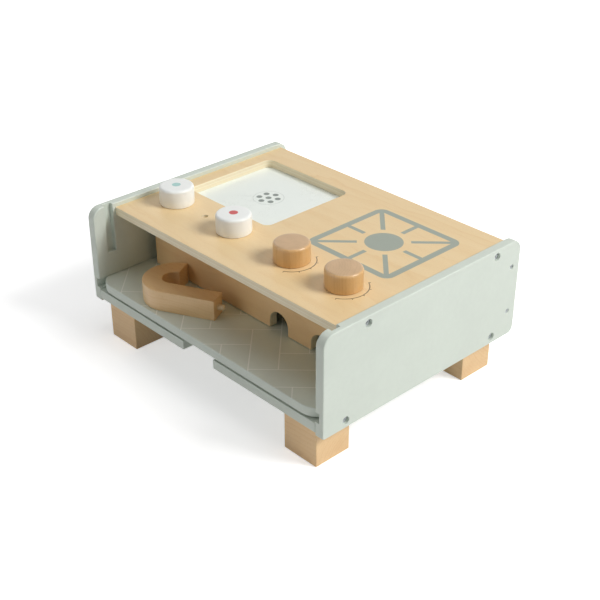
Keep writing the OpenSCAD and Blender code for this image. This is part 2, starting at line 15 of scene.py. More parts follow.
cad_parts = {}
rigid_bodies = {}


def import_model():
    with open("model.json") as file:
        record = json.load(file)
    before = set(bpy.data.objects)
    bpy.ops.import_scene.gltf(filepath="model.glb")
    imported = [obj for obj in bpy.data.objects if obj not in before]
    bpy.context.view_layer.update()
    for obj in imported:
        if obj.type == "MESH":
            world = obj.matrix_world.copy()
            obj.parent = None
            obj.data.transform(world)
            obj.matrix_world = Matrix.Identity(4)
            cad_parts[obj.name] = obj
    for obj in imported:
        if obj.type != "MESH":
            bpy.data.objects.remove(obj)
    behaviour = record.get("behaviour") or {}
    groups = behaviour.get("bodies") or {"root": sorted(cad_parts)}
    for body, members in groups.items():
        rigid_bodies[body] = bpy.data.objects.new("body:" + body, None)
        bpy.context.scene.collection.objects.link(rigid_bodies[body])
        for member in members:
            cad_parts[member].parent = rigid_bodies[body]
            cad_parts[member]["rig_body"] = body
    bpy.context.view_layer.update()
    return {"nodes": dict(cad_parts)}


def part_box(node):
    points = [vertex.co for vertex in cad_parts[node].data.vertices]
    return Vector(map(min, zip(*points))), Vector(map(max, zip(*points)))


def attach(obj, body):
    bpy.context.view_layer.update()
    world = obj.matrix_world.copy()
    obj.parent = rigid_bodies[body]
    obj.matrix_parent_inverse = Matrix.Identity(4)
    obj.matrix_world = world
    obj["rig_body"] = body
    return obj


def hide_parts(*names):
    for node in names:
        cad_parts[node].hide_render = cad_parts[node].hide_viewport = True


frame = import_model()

bl_info = {
    "name": "Toy oven with hob and sink",
    "version": (1, 0, 0),
    "blender": (4, 5, 0),
    "location": "3D View > Sidebar > Toy oven",
    "description": "Finishes the boards, knobs, screws and prints of a wooden toy oven and sets its stage",
    "category": "Object",
}

NODES = frame["nodes"]
MM = 0.001

# Mesh work
MERGE = 1e-7
FLAT_ANGLE = math.radians(0.4)
ARRIS_ANGLE = math.radians(32)
SHARP_ANGLE = math.radians(38)
HOLE_SPAN = 13 * MM
OUTLINE_INSET = 4.2 * MM
ROUND_STEPS = 3
KNOB_SIDES = 96
SCREW_SIDES = 72
SEAM = 0.002 * MM
SPIN_SEED = 7

# Where the pith line lies from the middle of each piece of beech, its grain turned onto X
PITHS = {
    "worktop": (0, 0.02, 0.21), "partition_board": (0, 0.19, 0.03),
    "near_left_foot": (0.1, 0.047, 0.03), "near_right_foot": (0.3, -0.04, 0.044),
    "far_left_foot": (0.5, 0.036, -0.05), "far_right_foot": (0.7, -0.05, -0.036),
    "left_hob_knob": (0.0, 0.034, 0.022), "right_hob_knob": (0.4, 0.026, -0.03),
    "tap_spout": (0.2, 0.03, 0.06), "door_handle": (0.6, 0.02, 0.03),
}
DOWEL_PITH = (0, 0.01, 0.02)

# Prints: angles in degrees, soft edges
DIAGONAL = math.sqrt(0.5)
DIAL_TICKS = (-62, -27, 2, 32, 61)
PRINT_EDGE = 0.12 * MM
TILE_EDGE = 0.2 * MM
DRAIN_EDGE = 0.4 * MM

# Stage: place, size and power property of each lamp
LAMPS = {
    "key_lamp": ((2.48, 1.31, 2.37), 1.4, "key_power"),
    "top_lamp": ((-0.1, 0.1, 2.0), 1.2, "top_power"),
    "near_lamp": ((-0.7, -2.0, 0.9), 1.4, "near_power"),
    "side_lamp": ((1.2, -1.3, 1.9), 1.0, "side_power"),
    "left_lamp": ((-2.0, 0.2, 1.0), 1.4, "left_power"),
}
LAMP_TARGET = (0, 0, 0.07)
FLOOR_HALF = 6.0


def srgb(red, green, blue):
    """Linear colour of a screen colour given in 0 to 255."""
    def linear(value):
        share = value / 255
        return share / 12.92 if share <= 0.04045 else ((share + 0.055) / 1.055) ** 2.4
    return linear(red), linear(green), linear(blue)


def colour_value(name, description, red, green, blue):
    return FloatVectorProperty(
        name=name, description=description, subtype="COLOR", size=3, min=0, max=1,
        default=srgb(red, green, blue),
    )


def length_value(name, description, millimetres):
    return FloatProperty(
        name=name, description=description, subtype="DISTANCE", unit="LENGTH", min=0, precision=5,
        default=millimetres * MM,
    )


def share_value(name, description, default, highest=1.0):
    return FloatProperty(name=name, description=description, min=0, max=highest, default=default)


def power_value(name, description, watts):
    return FloatProperty(name=name, description=description, unit="POWER", min=0, default=watts)


def angle_value(name, description, degrees):
    return FloatProperty(
        name=name, description=description, subtype="ANGLE", default=math.radians(degrees),
    )


class OvenColours(bpy.types.PropertyGroup):
    """Colours of the paints, woods and prints"""

    grey_paint: colour_value("Grey paint", "Paint of the panels, boards, splashback and door", 214, 222, 211)
    grey_worn: colour_value("Rubbed grey", "Grey paint where the arrises are rubbed", 226, 229, 220)
    white_paint: colour_value("White paint", "Paint of the tap knobs", 250, 252, 249)
    sink_paint: colour_value("Sink paint", "White paint of the sink panel", 246, 252, 246)
    cold_dot: colour_value("Cold dot", "Dot on the cold tap's knob", 166, 212, 206)
    hot_dot: colour_value("Hot dot", "Dot on the hot tap's knob", 206, 50, 54)
    tile_line: colour_value("Tile line", "Printed joints of the splashback's tiles", 243, 246, 239)
    hob_ink: colour_value("Hob ink", "Printed hob on the worktop", 152, 162, 150)
    dial_ink: colour_value("Dial ink", "Marks round the hob knobs", 100, 80, 50)
    # This ink also colours the faint ring of painted shade round the drain.
    drain_ink: colour_value("Drain ink", "Printed drain of the sink", 136, 146, 139)
    veneer_light: colour_value("Veneer, light", "Early wood of the beech veneer", 240, 212, 163)
    veneer_dark: colour_value("Veneer, dark", "Late wood of the beech veneer", 231, 196, 142)
    ply_light: colour_value("Ply, light", "Long grain layers in the worktop's edges", 244, 233, 204)
    ply_dark: colour_value("Ply, dark", "End grain layers in the worktop's edges", 238, 223, 188)
    beech_light: colour_value("Beech, light", "Early wood of the solid beech", 237, 201, 150)
    beech_dark: colour_value("Beech, dark", "Late wood of the solid beech", 223, 179, 124)
    knob_light: colour_value("Knob wood, light", "Early wood of the lacquered knobs", 222, 178, 118)
    knob_dark: colour_value("Knob wood, dark", "Late wood of the lacquered knobs", 204, 156, 96)
    knob_top: colour_value("Knob top", "End grain on top of the lacquered knobs", 196, 161, 119)
    fleck: colour_value("Ray fleck", "Short flecks in all the beech", 178, 128, 78)
    dowel_wood: colour_value("Dowel wood", "Pale birch of the pegs", 238, 220, 184)
    zinc: colour_value("Zinc", "Plating of the screws, pins and washers", 206, 209, 212)


class OvenSizes(bpy.types.PropertyGroup):
    """Arris roundings and the sizes of the prints and screws"""

    paint_round: length_value("Painted arris", "Rounding of the painted boards' arrises", 1.25)
    groove_round: length_value("Groove arris", "Rounding along the grooves of the side panels", 0.4)
    wood_round: length_value("Wood arris", "Rounding of the natural boards' arrises", 0.8)
    foot_round: length_value("Foot arris", "Rounding of the block feet's arrises", 0.8)
    tap_knob_round: length_value("Tap knob arris", "Rounding of the white knobs' upper edges", 2.8)
    hob_knob_round: length_value("Hob knob arris", "Rounding of the wooden knobs' upper edges", 2.9)
    hole_round: length_value("Hole arris", "Rounding round screw holes", 0.25)
    base_round: length_value("Base arris", "Rounding of the base, the front board and the door", 0.75)
    splash_round: length_value("Splashback arris", "Rounding of the splashback's arrises", 1.0)
    sink_round: length_value("Sink arris", "Rounding of the sink panel's arrises", 0.32)
    peg_round: length_value("Peg arris", "Rounding of the tap pin's ends", 0.4)
    pane_round: length_value("Pane arris", "Rounding of the window pane's arrises", 0.16)
    handle_round: length_value("Handle arris", "Rounding of the door handle's arrises", 0.64)
    crown_rise: length_value("Crown rise", "Rise of a knob's slightly domed top", 0.2)
    knob_chamfer: length_value("Knob chamfer", "Chamfer round a knob's base", 0.6)
    knob_bore: length_value("Knob bore", "Diameter of the hole under a knob", 4.1)
    knob_bore_depth: length_value("Knob bore depth", "Depth of the hole under a knob", 12.3)
    bolt_head: length_value("Bolt head", "Height of a panel bolt's head", 3)
    bolt_rim: length_value("Bolt rim", "Rounding of a panel bolt's head", 0.5)
    bolt_recess: length_value("Bolt recess", "Width of a panel bolt's hexagon recess", 4)
    bolt_recess_depth: length_value("Bolt recess depth", "Depth of a panel bolt's recess", 2)
    bolt_shank: length_value("Bolt shank", "Shank diameter of a panel bolt", 5)
    screw_head: length_value("Screw head", "Height of a sunk screw's head", 1.6)
    screw_rim: length_value("Screw rim", "Rounding of a sunk screw's head", 0.15)
    screw_recess: length_value("Screw recess", "Width of a screw's cross recess", 3.4)
    screw_recess_arm: length_value("Recess arm", "Width of one arm of a cross recess", 0.8)
    screw_recess_depth: length_value("Screw recess depth", "Depth of a screw's cross recess", 1.3)
    screw_shank: length_value("Screw shank", "Shank diameter of a sunk screw", 3)
    pan_head: length_value("Pan head", "Height of a pan head", 1.8)
    pan_rim: length_value("Pan rim", "Rounding of a pan head", 0.6)
    sink_shank: length_value("Sink screw shank", "Shank diameter of a sink screw", 2.5)
    axle_shank: length_value("Knob screw shank", "Shank diameter of a knob's screw", 4)
    tile_width: length_value("Tile width", "Short side of a printed tile", 28)
    tile_length: length_value("Tile length", "Long side of a printed tile", 70)
    tile_joint: length_value("Tile joint", "Width of a printed joint", 1.0)
    tile_start: FloatVectorProperty(
        name="Tile start", description="Corner of the first tile from the splashback's near left corner",
        subtype="TRANSLATION", unit="LENGTH", size=2, default=(139.4 * MM, 2.2 * MM),
    )
    hob_width: length_value("Hob width", "Outer width of the printed hob", 108.5)
    hob_corner: length_value("Hob corner", "Corner radius of the printed hob", 10)
    hob_stroke: length_value("Hob stroke", "Line width of the hob's frame", 7)
    hob_bar: length_value("Hob bar", "Line width of the hob's bars", 4.8)
    hob_bar_start: length_value("Bar start", "Distance from the hob's middle to its bars", 26.3)
    hob_disc: length_value("Hob disc", "Radius of the hob's middle disc", 19.1)
    hob_set_in: length_value("Hob set in", "Distance from the worktop's far edge to the hob's middle", 87.8)
    dial_radius: length_value("Dial radius", "Radius of the arc round a hob knob", 23.6)
    dial_line: length_value("Dial line", "Line width of the arc and its ticks", 1.0)
    dial_tick: length_value("Dial tick", "Length of a tick outside the arc", 2.0)
    drain_hole: length_value("Drain hole", "Radius of a printed drain hole", 3.2)
    drain_radius: length_value("Drain radius", "Radius of the ring of printed drain holes", 10.2)
    # The faint ring round the drain is painted shade, drawn lightly in the drain's ink.
    drain_rim: length_value("Drain rim", "Radius of the faint ring round the drain", 16.5)
    drain_shift: length_value("Drain shift", "Drain's distance left and far of the panel's middle", 0.95)
    tap_dot: length_value("Tap dot", "Radius of the dot on a tap knob", 4.5)
    beech_ring: length_value("Beech ring", "Growth ring spacing of the feet, spout and handle", 3.2)
    knob_ring: length_value("Knob ring", "Growth ring spacing of the hob knobs", 2.6)
    dowel_ring: length_value("Dowel ring", "Growth ring spacing of the pegs", 1.4)
    veneer_ring: length_value("Veneer ring", "Growth ring spacing of the veneer", 5.5)
    paint_rub: length_value("Paint rub", "Width of the rub along the painted arrises", 1.3)
    wood_rub: length_value("Wood rub", "Width of the rub along the solid wood's arrises", 1.0)
    veneer_rub: length_value("Veneer rub", "Width of the rub along the veneered boards' arrises", 0.8)
    ply_layer: length_value("Ply layer", "Thickness of one plywood layer", 1.8)


class OvenStage(bpy.types.PropertyGroup):
    """Lamps, floor and camera"""

    key_power: power_value("Key lamp", "Power of the soft key lamp", 106)
    top_power: power_value("Top lamp", "Power of the overhead lamp", 8.6)
    near_power: power_value("Near lamp", "Power of the lamp in front", 8)
    side_power: power_value("Side lamp", "Power of the lamp on the right", 1.8)
    left_power: power_value("Left lamp", "Power of the lamp on the left", 2)
    ambient: share_value("Ambient", "Strength of the even light from all round", 0.02, 4)
    floor_lift: share_value("Floor lift", "Glow that the camera sees in the floor", 0.53, 2)
    glow_start: length_value("Glow start", "Where the floor's glow starts to rise, from the middle", 200)
    glow_end: length_value("Glow end", "Where the floor's glow is full, from the middle", 700)
    lens: FloatProperty(name="Lens", description="Focal length in millimetres", default=68.63)
    azimuth: angle_value("Azimuth", "Turn of the camera round the oven", 46.78)
    elevation: angle_value("Elevation", "Height angle of the camera", 30.173)
    roll: angle_value("Roll", "Turn of the picture about the line of sight", -0.094)
    camera_place: FloatVectorProperty(
        name="Camera place", description="Where the camera stands", subtype="TRANSLATION", unit="LENGTH",
        default=(0.74299, -0.69648, 0.64472),
    )


def colours():
    return bpy.context.scene.oven_colours


def sizes():
    return bpy.context.scene.oven_sizes


class Value:
    """A node's output in a graph. Arithmetic with it adds maths nodes, for vectors part by part."""

    def __init__(self, graph, socket):
        self.graph = graph
        self.socket = socket

    def __add__(self, other):
        return self.graph.combine("ADD", self, other)

    def __sub__(self, other):
        return self.graph.combine("SUBTRACT", self, other)

    def __rsub__(self, other):
        return self.graph.combine("SUBTRACT", other, self)

    def __mul__(self, other):
        return self.graph.combine("MULTIPLY", self, other)

    def __truediv__(self, other):
        return self.graph.combine("DIVIDE", self, other)

    def __rtruediv__(self, other):
        return self.graph.combine("DIVIDE", other, self)

    def __abs__(self):
        return self.graph.combine("ABSOLUTE", self)


def is_vector(value):
    """Whether a value, a number or a tuple has parts."""
    return value.socket.type == "VECTOR" if isinstance(value, Value) else hasattr(value, "__len__")


class Graph:
    """Adds nodes to one node tree. Every input takes a value, a number, a vector or a colour."""

    def __init__(self, tree):
        self.tree = tree

    def feed(self, socket, value):
        if isinstance(value, Value):
            self.tree.links.new(value.socket, socket)
            return
        if hasattr(value, "__len__"):
            value = tuple(value)
            if socket.type == "RGBA" and len(value) == 3:
                value = (*value, 1.0)
        socket.default_value = value

    def node(self, kind, inputs=None, **settings):
        made = self.tree.nodes.new(kind)
        for key, value in settings.items():
            setattr(made, key, value)
        for key, value in (inputs or {}).items():
            self.feed(made.inputs[key], value)
        return made

    def out(self, kind, inputs=None, output=0, **settings):
        """Adds a node and gives one of its outputs."""
        return Value(self, self.node(kind, inputs, **settings).outputs[output])

    def math(self, operation, *values, clamp=False):
        return self.out("ShaderNodeMath", dict(enumerate(values)), operation=operation, use_clamp=clamp)

    def vector(self, operation, *values):
        output = "Value" if operation in {"LENGTH", "DOT_PRODUCT"} else "Vector"
        return self.out("ShaderNodeVectorMath", dict(enumerate(values)), output, operation=operation)

    def combine(self, operation, *values):
        work = self.vector if any(is_vector(value) for value in values) else self.math
        return work(operation, *values)

    def split(self, vector):
        made = self.node("ShaderNodeSeparateXYZ", {"Vector": vector})
        return [Value(self, socket) for socket in made.outputs]

    def join(self, x=0.0, y=0.0, z=0.0):
        return self.out("ShaderNodeCombineXYZ", {"X": x, "Y": y, "Z": z})

    def length(self, x, y):
        """Length of a vector with these two parts."""
        return self.vector("LENGTH", self.join(x, y))

    def step(self, value, start, end):
        """Smooth 0 to 1 as the value goes from start to end."""
        inputs = {"Value": value, "From Min": start, "From Max": end}
        return self.out("ShaderNodeMapRange", inputs, "Result", interpolation_type="SMOOTHSTEP")

    def span(self, value, low, high):
        """A 0 to 1 value as a value from low to high."""
        return value * (high - low) + low

    def mix(self, share, first, second):
        """Mixes two colours; the Mix node has its colours at inputs 6 and 7 and output 2."""
        return self.out("ShaderNodeMix", {0: share, 6: first, 7: second}, 2, data_type="RGBA")

    def noise(self, vector, scale, detail=2.0, roughness=0.5):
        inputs = {"Vector": vector, "Scale": scale, "Detail": detail, "Roughness": roughness}
        return self.out("ShaderNodeTexNoise", inputs)

    def cells(self, vector, scale, channel):
        """Distance to the middle of the nearest random cell, and that cell's random number."""
        made = self.node("ShaderNodeTexVoronoi", {"Vector": vector, "Scale": scale})
        colour = Value(self, made.outputs["Color"])
        chance = self.out("ShaderNodeSeparateColor", {"Color": colour}, channel)
        return Value(self, made.outputs["Distance"]), chance

    def least(self, *values):
        return reduce(lambda first, second: self.math("MINIMUM", first, second), values)

    def most(self, *values):
        return reduce(lambda first, second: self.math("MAXIMUM", first, second), values)

    def inside(self, distance, soft=PRINT_EDGE):
        """1 where a signed distance is below zero, with a soft printed edge."""
        return self.step(distance, soft, -soft)

    def group(self, tree, **inputs):
        """Adds a node group and gives its outputs by name."""
        named = {key.replace("_", " "): value for key, value in inputs.items()}
        made = self.node("ShaderNodeGroup", named, node_tree=tree)
        return {socket.name: Value(self, socket) for socket in made.outputs}

    def close_group(self, socket_type="NodeSocketFloat", **outputs):
        """Gives the node group these outputs."""
        for label in outputs:
            self.tree.interface.new_socket(label, in_out="OUTPUT", socket_type=socket_type)
        self.node("NodeGroupOutput", outputs)
        return self.tree


def new_group(name, inputs, kind="ShaderNodeTree"):
    """The graph of a new node group and its inputs, given as name: default or name: socket type."""
    tree = bpy.data.node_groups.new(name, kind)
    for label, default in inputs.items():
        if isinstance(default, str):
            tree.interface.new_socket(label, in_out="INPUT", socket_type=default)
            continue
        socket_type = "NodeSocketVector" if hasattr(default, "__len__") else "NodeSocketFloat"
        socket = tree.interface.new_socket(label, in_out="INPUT", socket_type=socket_type)
        socket.default_value = default
    graph = Graph(tree)
    return graph, {socket.name: Value(graph, socket) for socket in graph.node("NodeGroupInput").outputs}


def cached_group(build):
    """Builds a node group once and gives the same one afterwards."""
    def found():
        name = build.__name__
        return bpy.data.node_groups.get(name) or build(name)
    return found


@cached_group
def beech_figure(name):
    """Growth rings round a pith line along X, fibre streaks along X and short ray flecks."""
    graph, given = new_group(
        name, {"Vector": (0, 0, 0), "Ring Spacing": 3 * MM, "Wobble": 3 * MM, "Fleck Share": 0.4},
    )
    place, spacing = given["Vector"], given["Ring Spacing"]
    slow = graph.noise(place * (7, 22, 22), 1.0)
    fine = graph.noise(place * (30, 140, 140), 1.0, 1.0)
    wobble = given["Wobble"] * (slow - 0.5) + spacing * (fine - 0.5)
    _, y, z = graph.split(place)
    turns = (graph.length(y, z) + wobble) / spacing
    ring = graph.math("FRACT", turns)
    late = graph.math("POWER", ring, 3.0) * graph.step(ring, 1.0, 0.93)
    strength = graph.out(
        "ShaderNodeTexWhiteNoise", {"W": graph.math("FLOOR", turns)}, "Value", noise_dimensions="1D",
    )
    late = late * graph.span(strength, 0.35, 1.0)
    fibre = graph.noise(place * (38, 1500, 1500), 1.0, 3.0, 0.65)
    band = graph.noise(place * (5, 60, 60), 1.0)
    tone = graph.math("ADD", late * 0.55 + fibre * 0.5, band - 0.6, clamp=True)
    distance, chance = graph.cells(place * (300, 1150, 1150), 1.0, 0)
    fleck = graph.step(distance, 0.34, 0.16) * graph.math("LESS_THAN", chance, given["Fleck Share"])
    return graph.close_group(Tone=tone, Fleck=fleck, Height=1.0 - (fleck * 0.8 + fibre * 0.5))


@cached_group
def ply_layers(name):
    """Edge of a plywood board: layers by the depth below its face, with thin glue lines."""
    graph, given = new_group(name, {"Vector": (0, 0, 0), "Depth": 0.0, "Layer": 1.8 * MM})
    waver = graph.noise(given["Vector"], 120.0) - 0.5
    turns = given["Depth"] / given["Layer"] + waver * 0.16
    share = graph.math("FRACT", turns)
    odd = graph.math("FLOORED_MODULO", graph.math("FLOOR", turns), 2.0)
    cut = graph.noise(given["Vector"] * (900, 900, 260), 1.0, 2.0, 0.7)
    tone = graph.math("ADD", odd * 0.65, cut * 0.4, clamp=True)
    return graph.close_group(Tone=tone, Glue=graph.step(graph.least(share, 1.0 - share), 0.12, 0.02))


@cached_group
def paint_film(name):
    """Sprayed paint on board: slow unevenness, fine orange peel and a few dust nibs."""
    graph, given = new_group(name, {"Vector": (0, 0, 0)})
    place = given["Vector"]
    slow = graph.noise(place, 26.0, 3.0, 0.55)
    rolled = graph.noise(place, 190.0)
    peel = graph.noise(place, 780.0, 2.0, 0.6)
    distance, chance = graph.cells(place, 130.0, 1)
    nib = graph.step(distance, 0.09, 0.03) * graph.math("LESS_THAN", chance, 0.08)
    return graph.close_group(
        Shade=slow * 0.7 + rolled * 0.3 - nib * 0.5, Gloss=slow * 0.5 + peel * 0.5,
        Height=peel * 0.6 + (rolled + nib),
    )


@cached_group
def arris_rub(name):
    """Mask along the arrises of a board, from the second least distance to the sides of its box."""
    graph, given = new_group(
        name, {"Vector": (0, 0, 0), "Low": (0, 0, 0), "High": (1, 1, 1), "Width": 1.5 * MM},
    )
    place = given["Vector"]
    from_low, from_high = abs(place - given["Low"]), abs(given["High"] - place)
    x, y, z = graph.split(graph.vector("MINIMUM", from_low, from_high))
    distance = x + (y + z) - (graph.least(x, y, z) + graph.most(x, y, z))
    uneven = graph.noise(place, 210.0, 3.0, 0.7)
    reach = given["Width"] * graph.span(graph.step(uneven, 0.35, 0.75), 0.3, 1.7)
    return graph.close_group(Mask=graph.step(distance, reach, 0.0))


@cached_group
def dial_marks(name):
    """Arc with five ticks pointing outwards, round an origin, opening towards +X."""
    graph, given = new_group(
        name, {"Vector": (0, 0, 0), "Radius": 24.5 * MM, "Line": 0.7 * MM, "Tick": 2.4 * MM},
    )
    place, radius = given["Vector"], given["Radius"]
    x, y, _ = graph.split(place)
    half = given["Line"] * 0.5
    turn = abs(graph.math("ARCTAN2", y, x))
    within = graph.math("LESS_THAN", turn, math.radians(-DIAL_TICKS[0]))
    mask = graph.inside(abs(graph.length(x, y) - radius) - half) * within
    for degrees in DIAL_TICKS:
        cosine, sine = math.cos(math.radians(degrees)), math.sin(math.radians(degrees))
        along = graph.vector("DOT_PRODUCT", place, (cosine, sine, 0))
        across = graph.vector("DOT_PRODUCT", place, (-sine, cosine, 0))
        past = along - (radius + given["Tick"])
        mask = graph.most(mask, graph.inside(graph.most(abs(across) - half, past, radius - along)))
    return graph.close_group(Mask=mask)


def new_material(name):
    """An empty material, its graph and its object coordinates."""
    material = bpy.data.materials.new(name)
    material.use_nodes = True
    material.node_tree.nodes.clear()
    graph = Graph(material.node_tree)
    return material, graph, graph.out("ShaderNodeTexCoord", output="Object")


def surfaced(material, graph, inputs):
    """Gives a material a Principled BSDF with these inputs."""
    surface = graph.out("ShaderNodeBsdfPrincipled", inputs)
    graph.node("ShaderNodeOutputMaterial", {"Surface": surface})
    return material


def bump(graph, height, depth, strength):
    return graph.out("ShaderNodeBump", {"Height": height, "Distance": depth, "Strength": strength})


def facing(graph, axis, threshold=0.7, soft=0.08):
    """1 where the surface faces along plus or minus that axis."""
    normal = graph.out("ShaderNodeTexCoord", output="Normal")
    return graph.step(abs(graph.split(normal)[axis]), threshold - soft, threshold + soft)


def shaded(colour, share):
    """A colour made darker, or lighter up to white."""
    return [min(1, share * part) for part in colour]


def board_box(node):
    low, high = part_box(node)
    return low, high, (low + high) / 2


def rubbed(graph, place, node, width):
    """Mask of a board's rubbed arrises."""
    low, high, _ = board_box(node)
    return graph.group(arris_rub(), Vector=place, Low=low, High=high, Width=width)["Mask"]


def grain_place(graph, place, node, turn, along=0):
    """Coordinates about a piece's middle, its grain turned onto X and the pith line set off it."""
    onto_x = ((0, 0, 0), (0, 0, -math.pi / 2), (0, math.pi / 2, 0))[along]
    centred = place - board_box(node)[2]
    turned = graph.out("ShaderNodeMapping", {"Vector": centred, "Rotation": onto_x})
    pith = PITHS.get(node, DOWEL_PITH)
    return graph.out("ShaderNodeMapping", {"Vector": turned, "Rotation": turn, "Location": pith})


def beech_surface(graph, figure, light, dark, fleck_depth=0.22):
    """Colour of beech from its figure's tone and flecks."""
    ground = graph.mix(figure["Tone"], light, dark)
    return graph.mix(figure["Fleck"] * fleck_depth, ground, colours().fleck)


def printed(graph, place, base, draw):
    """A base colour with a print on it; draw gives the print's mask and ink, or is None."""
    if draw is None:
        return base
    mask, ink = draw(graph, place)
    return graph.mix(mask, base, ink)


def paint_material(name, node, colour, draw=None, roughness=0.42, mottle=0.03):
    """Satin paint on a board, rubbed at its arrises, with the print that draw adds."""
    material, graph, place = new_material(name)
    film = graph.group(paint_film(), Vector=place)
    rub = rubbed(graph, place, node, sizes().paint_rub)
    shade = graph.step(film["Shade"], 0.3, 0.7)
    base = graph.mix(shade, shaded(colour, 1 - mottle), shaded(colour, 1 + 0.5 * mottle))
    base = graph.mix(rub * 0.2, printed(graph, place, base, draw), colours().grey_worn)
    gloss = graph.span(graph.step(film["Gloss"], 0.3, 0.7), roughness - 0.05, roughness + 0.07)
    return surfaced(material, graph, {
        "Base Color": base, "Roughness": gloss + rub * 0.08, "Specular IOR Level": 0.4,
        "Normal": bump(graph, film["Height"], 0.05 * MM, 0.55),
    })


def beech_material(name, node, lacquer, tones=None, along=0, spacing=None, ends=None):
    """Solid beech with satin lacquer, its grain along the given axis, and the colour of its end grain."""
    material, graph, place = new_material(name)
    spacing = spacing or sizes().beech_ring
    light, dark = tones or (colours().beech_light, colours().beech_dark)
    set_out = grain_place(graph, place, node, (0, 0.03, 0.02), along)
    figure = graph.group(beech_figure(), Vector=set_out, Ring_Spacing=spacing, Wobble=3.5 * MM)
    base = beech_surface(graph, figure, light, dark)
    if ends:
        patch = graph.math("MULTIPLY_ADD", graph.noise(place, 75.0), 0.6, figure["Tone"] * 0.5)
        end_grain = graph.mix(patch, shaded(ends, 1.22), shaded(ends, 0.8))
        base = graph.mix(facing(graph, along, 0.8), base, end_grain)
    rub = rubbed(graph, place, node, sizes().wood_rub)
    return surfaced(material, graph, {
        "Base Color": graph.mix(rub * 0.25, base, shaded(light, 0.82)),
        "Roughness": graph.span(figure["Tone"], 0.38, 0.52),
        "Normal": bump(graph, figure["Height"], 0.06 * MM, 0.45),
        "Coat Weight": lacquer, "Coat Roughness": 0.28,
    })


def dowel_material(name, node):
    pale = colours().dowel_wood
    tones = (pale, shaded(pale, 0.84))
    return beech_material(name, node, lacquer=0.1, tones=tones, along=2, spacing=sizes().dowel_ring)


def veneered_material(name, node, light, dark, face_axis, draw=None):
    """Plywood board: lacquered beech veneer on its faces and layers in its edges, with prints on top."""
    paint, size = colours(), sizes()
    material, graph, place = new_material(name)
    set_out = grain_place(graph, place, node, (0, 0.05, 0.01))
    figure = graph.group(
        beech_figure(), Vector=set_out, Ring_Spacing=size.veneer_ring, Wobble=16 * MM, Fleck_Share=0.5,
    )
    veneer = printed(graph, place, beech_surface(graph, figure, light, dark, 0.14), draw)
    depth = board_box(node)[1][face_axis] - graph.split(place)[face_axis]
    layers = graph.group(ply_layers(), Vector=place, Depth=depth, Layer=size.ply_layer)
    edge = graph.mix(layers["Tone"], paint.ply_light, paint.ply_dark)
    edge = graph.mix(layers["Glue"] * 0.2, edge, paint.fleck)
    face = facing(graph, face_axis)
    rub = rubbed(graph, place, node, size.veneer_rub)
    return surfaced(material, graph, {
        "Base Color": graph.mix(rub * 0.3, graph.mix(face, edge, veneer), paint.ply_light),
        "Roughness": graph.span(figure["Tone"], 0.36, 0.48) + graph.span(face, 0.14, 0.0),
        "Normal": bump(graph, figure["Height"], 0.05 * MM, 0.4),
        "Coat Weight": 0.15, "Coat Roughness": 0.32,
    })


def zinc():
    """Zinc plated steel: brushed unevenness and dull patches."""
    name = "zinc_plated_steel"
    if name in bpy.data.materials:
        return bpy.data.materials[name]
    material, graph, place = new_material(name)
    patch = graph.step(graph.noise(place, 420.0, 3.0, 0.6), 0.35, 0.7)
    grit = graph.noise(place, 3400.0, 2.0, 0.6)
    plating = colours().zinc
    return surfaced(material, graph, {
        "Base Color": graph.mix(patch, plating, shaded(plating, 0.78)), "Metallic": 1.0,
        "Roughness": graph.span(graph.step(grit, 0.3, 0.7), 0.28, 0.46),
        "Normal": bump(graph, grit, 0.02 * MM, 0.5),
    })


def pane_material(name):
    """Clear acrylic pane with a few fine wipe marks."""
    material, graph, place = new_material(name)
    wipe = graph.noise(place * (60, 60, 900), 1.0, 3.0, 0.6)
    return surfaced(material, graph, {
        "Base Color": graph.mix(wipe, (0.94, 0.97, 0.98), (0.98, 0.99, 1.0)),
        "Roughness": graph.span(graph.step(wipe, 0.4, 0.8), 0.02, 0.09),
        "Transmission Weight": 1.0, "IOR": 1.49,
    })


def tile_lines(graph, place):
    """Printed joints of a herringbone of tiles laid at 45 degrees, on the splashback's upper face."""
    size = sizes()
    low, high, _ = board_box("splashback")
    width, length = size.tile_width, size.tile_length
    x, y, z = graph.split(place)
    from_x, from_y = x - (low.x + size.tile_start[0]), y - (low.y + size.tile_start[1])
    across, along = (from_x + from_y) * DIAGONAL, (from_y - from_x) * DIAGONAL
    lean = along - across

    def laid(shift, upright, offset):
        """Distance inside the upright or the lying tile that may hold the point."""
        row = graph.math("FLOOR", (shift - lean) / (2 * length))
        moved_across = across - row * (length + width)
        moved_along = along + row * (length - width)
        narrow, wide = (moved_across, moved_along) if upright else (moved_along, moved_across)
        column = graph.math("FLOOR", narrow / width)
        in_width = narrow - column * width
        in_length = wide - (column * width + offset)
        return graph.least(in_width, width - in_width, in_length, length - in_length)

    border = graph.most(laid(length, True, 0.0), laid(0.0, False, width))
    line = graph.inside(border - size.tile_joint / 2, TILE_EDGE)
    top = graph.step(z, high.z - 0.6 * MM, high.z - 0.2 * MM)
    return line * top * 0.9, colours().tile_line


def hob_mask(graph, place, centre):
    """Rounded square frame, middle disc and eight bars."""
    size = sizes()
    x, y, _ = graph.split(abs(place - centre))
    core = size.hob_width / 2 - size.hob_corner
    past_x, past_y = x - core, y - core
    outer = graph.length(graph.most(past_x, 0.0), graph.most(past_y, 0.0))
    inner = graph.least(graph.most(past_x, past_y), 0.0)
    in_frame = outer + inner - size.hob_corner + size.hob_stroke / 2
    ring = abs(in_frame) - size.hob_stroke / 2
    shapes = [graph.inside(ring), graph.inside(graph.length(x, y) - size.hob_disc)]
    slanted = ((x + y) * DIAGONAL, abs(x - y) * DIAGONAL)
    for along, across in ((graph.most(x, y), graph.least(x, y)), slanted):
        sides, start = across - size.hob_bar / 2, size.hob_bar_start - along
        shapes.append(graph.inside(graph.most(sides, start, in_frame)))
    return graph.most(*shapes)


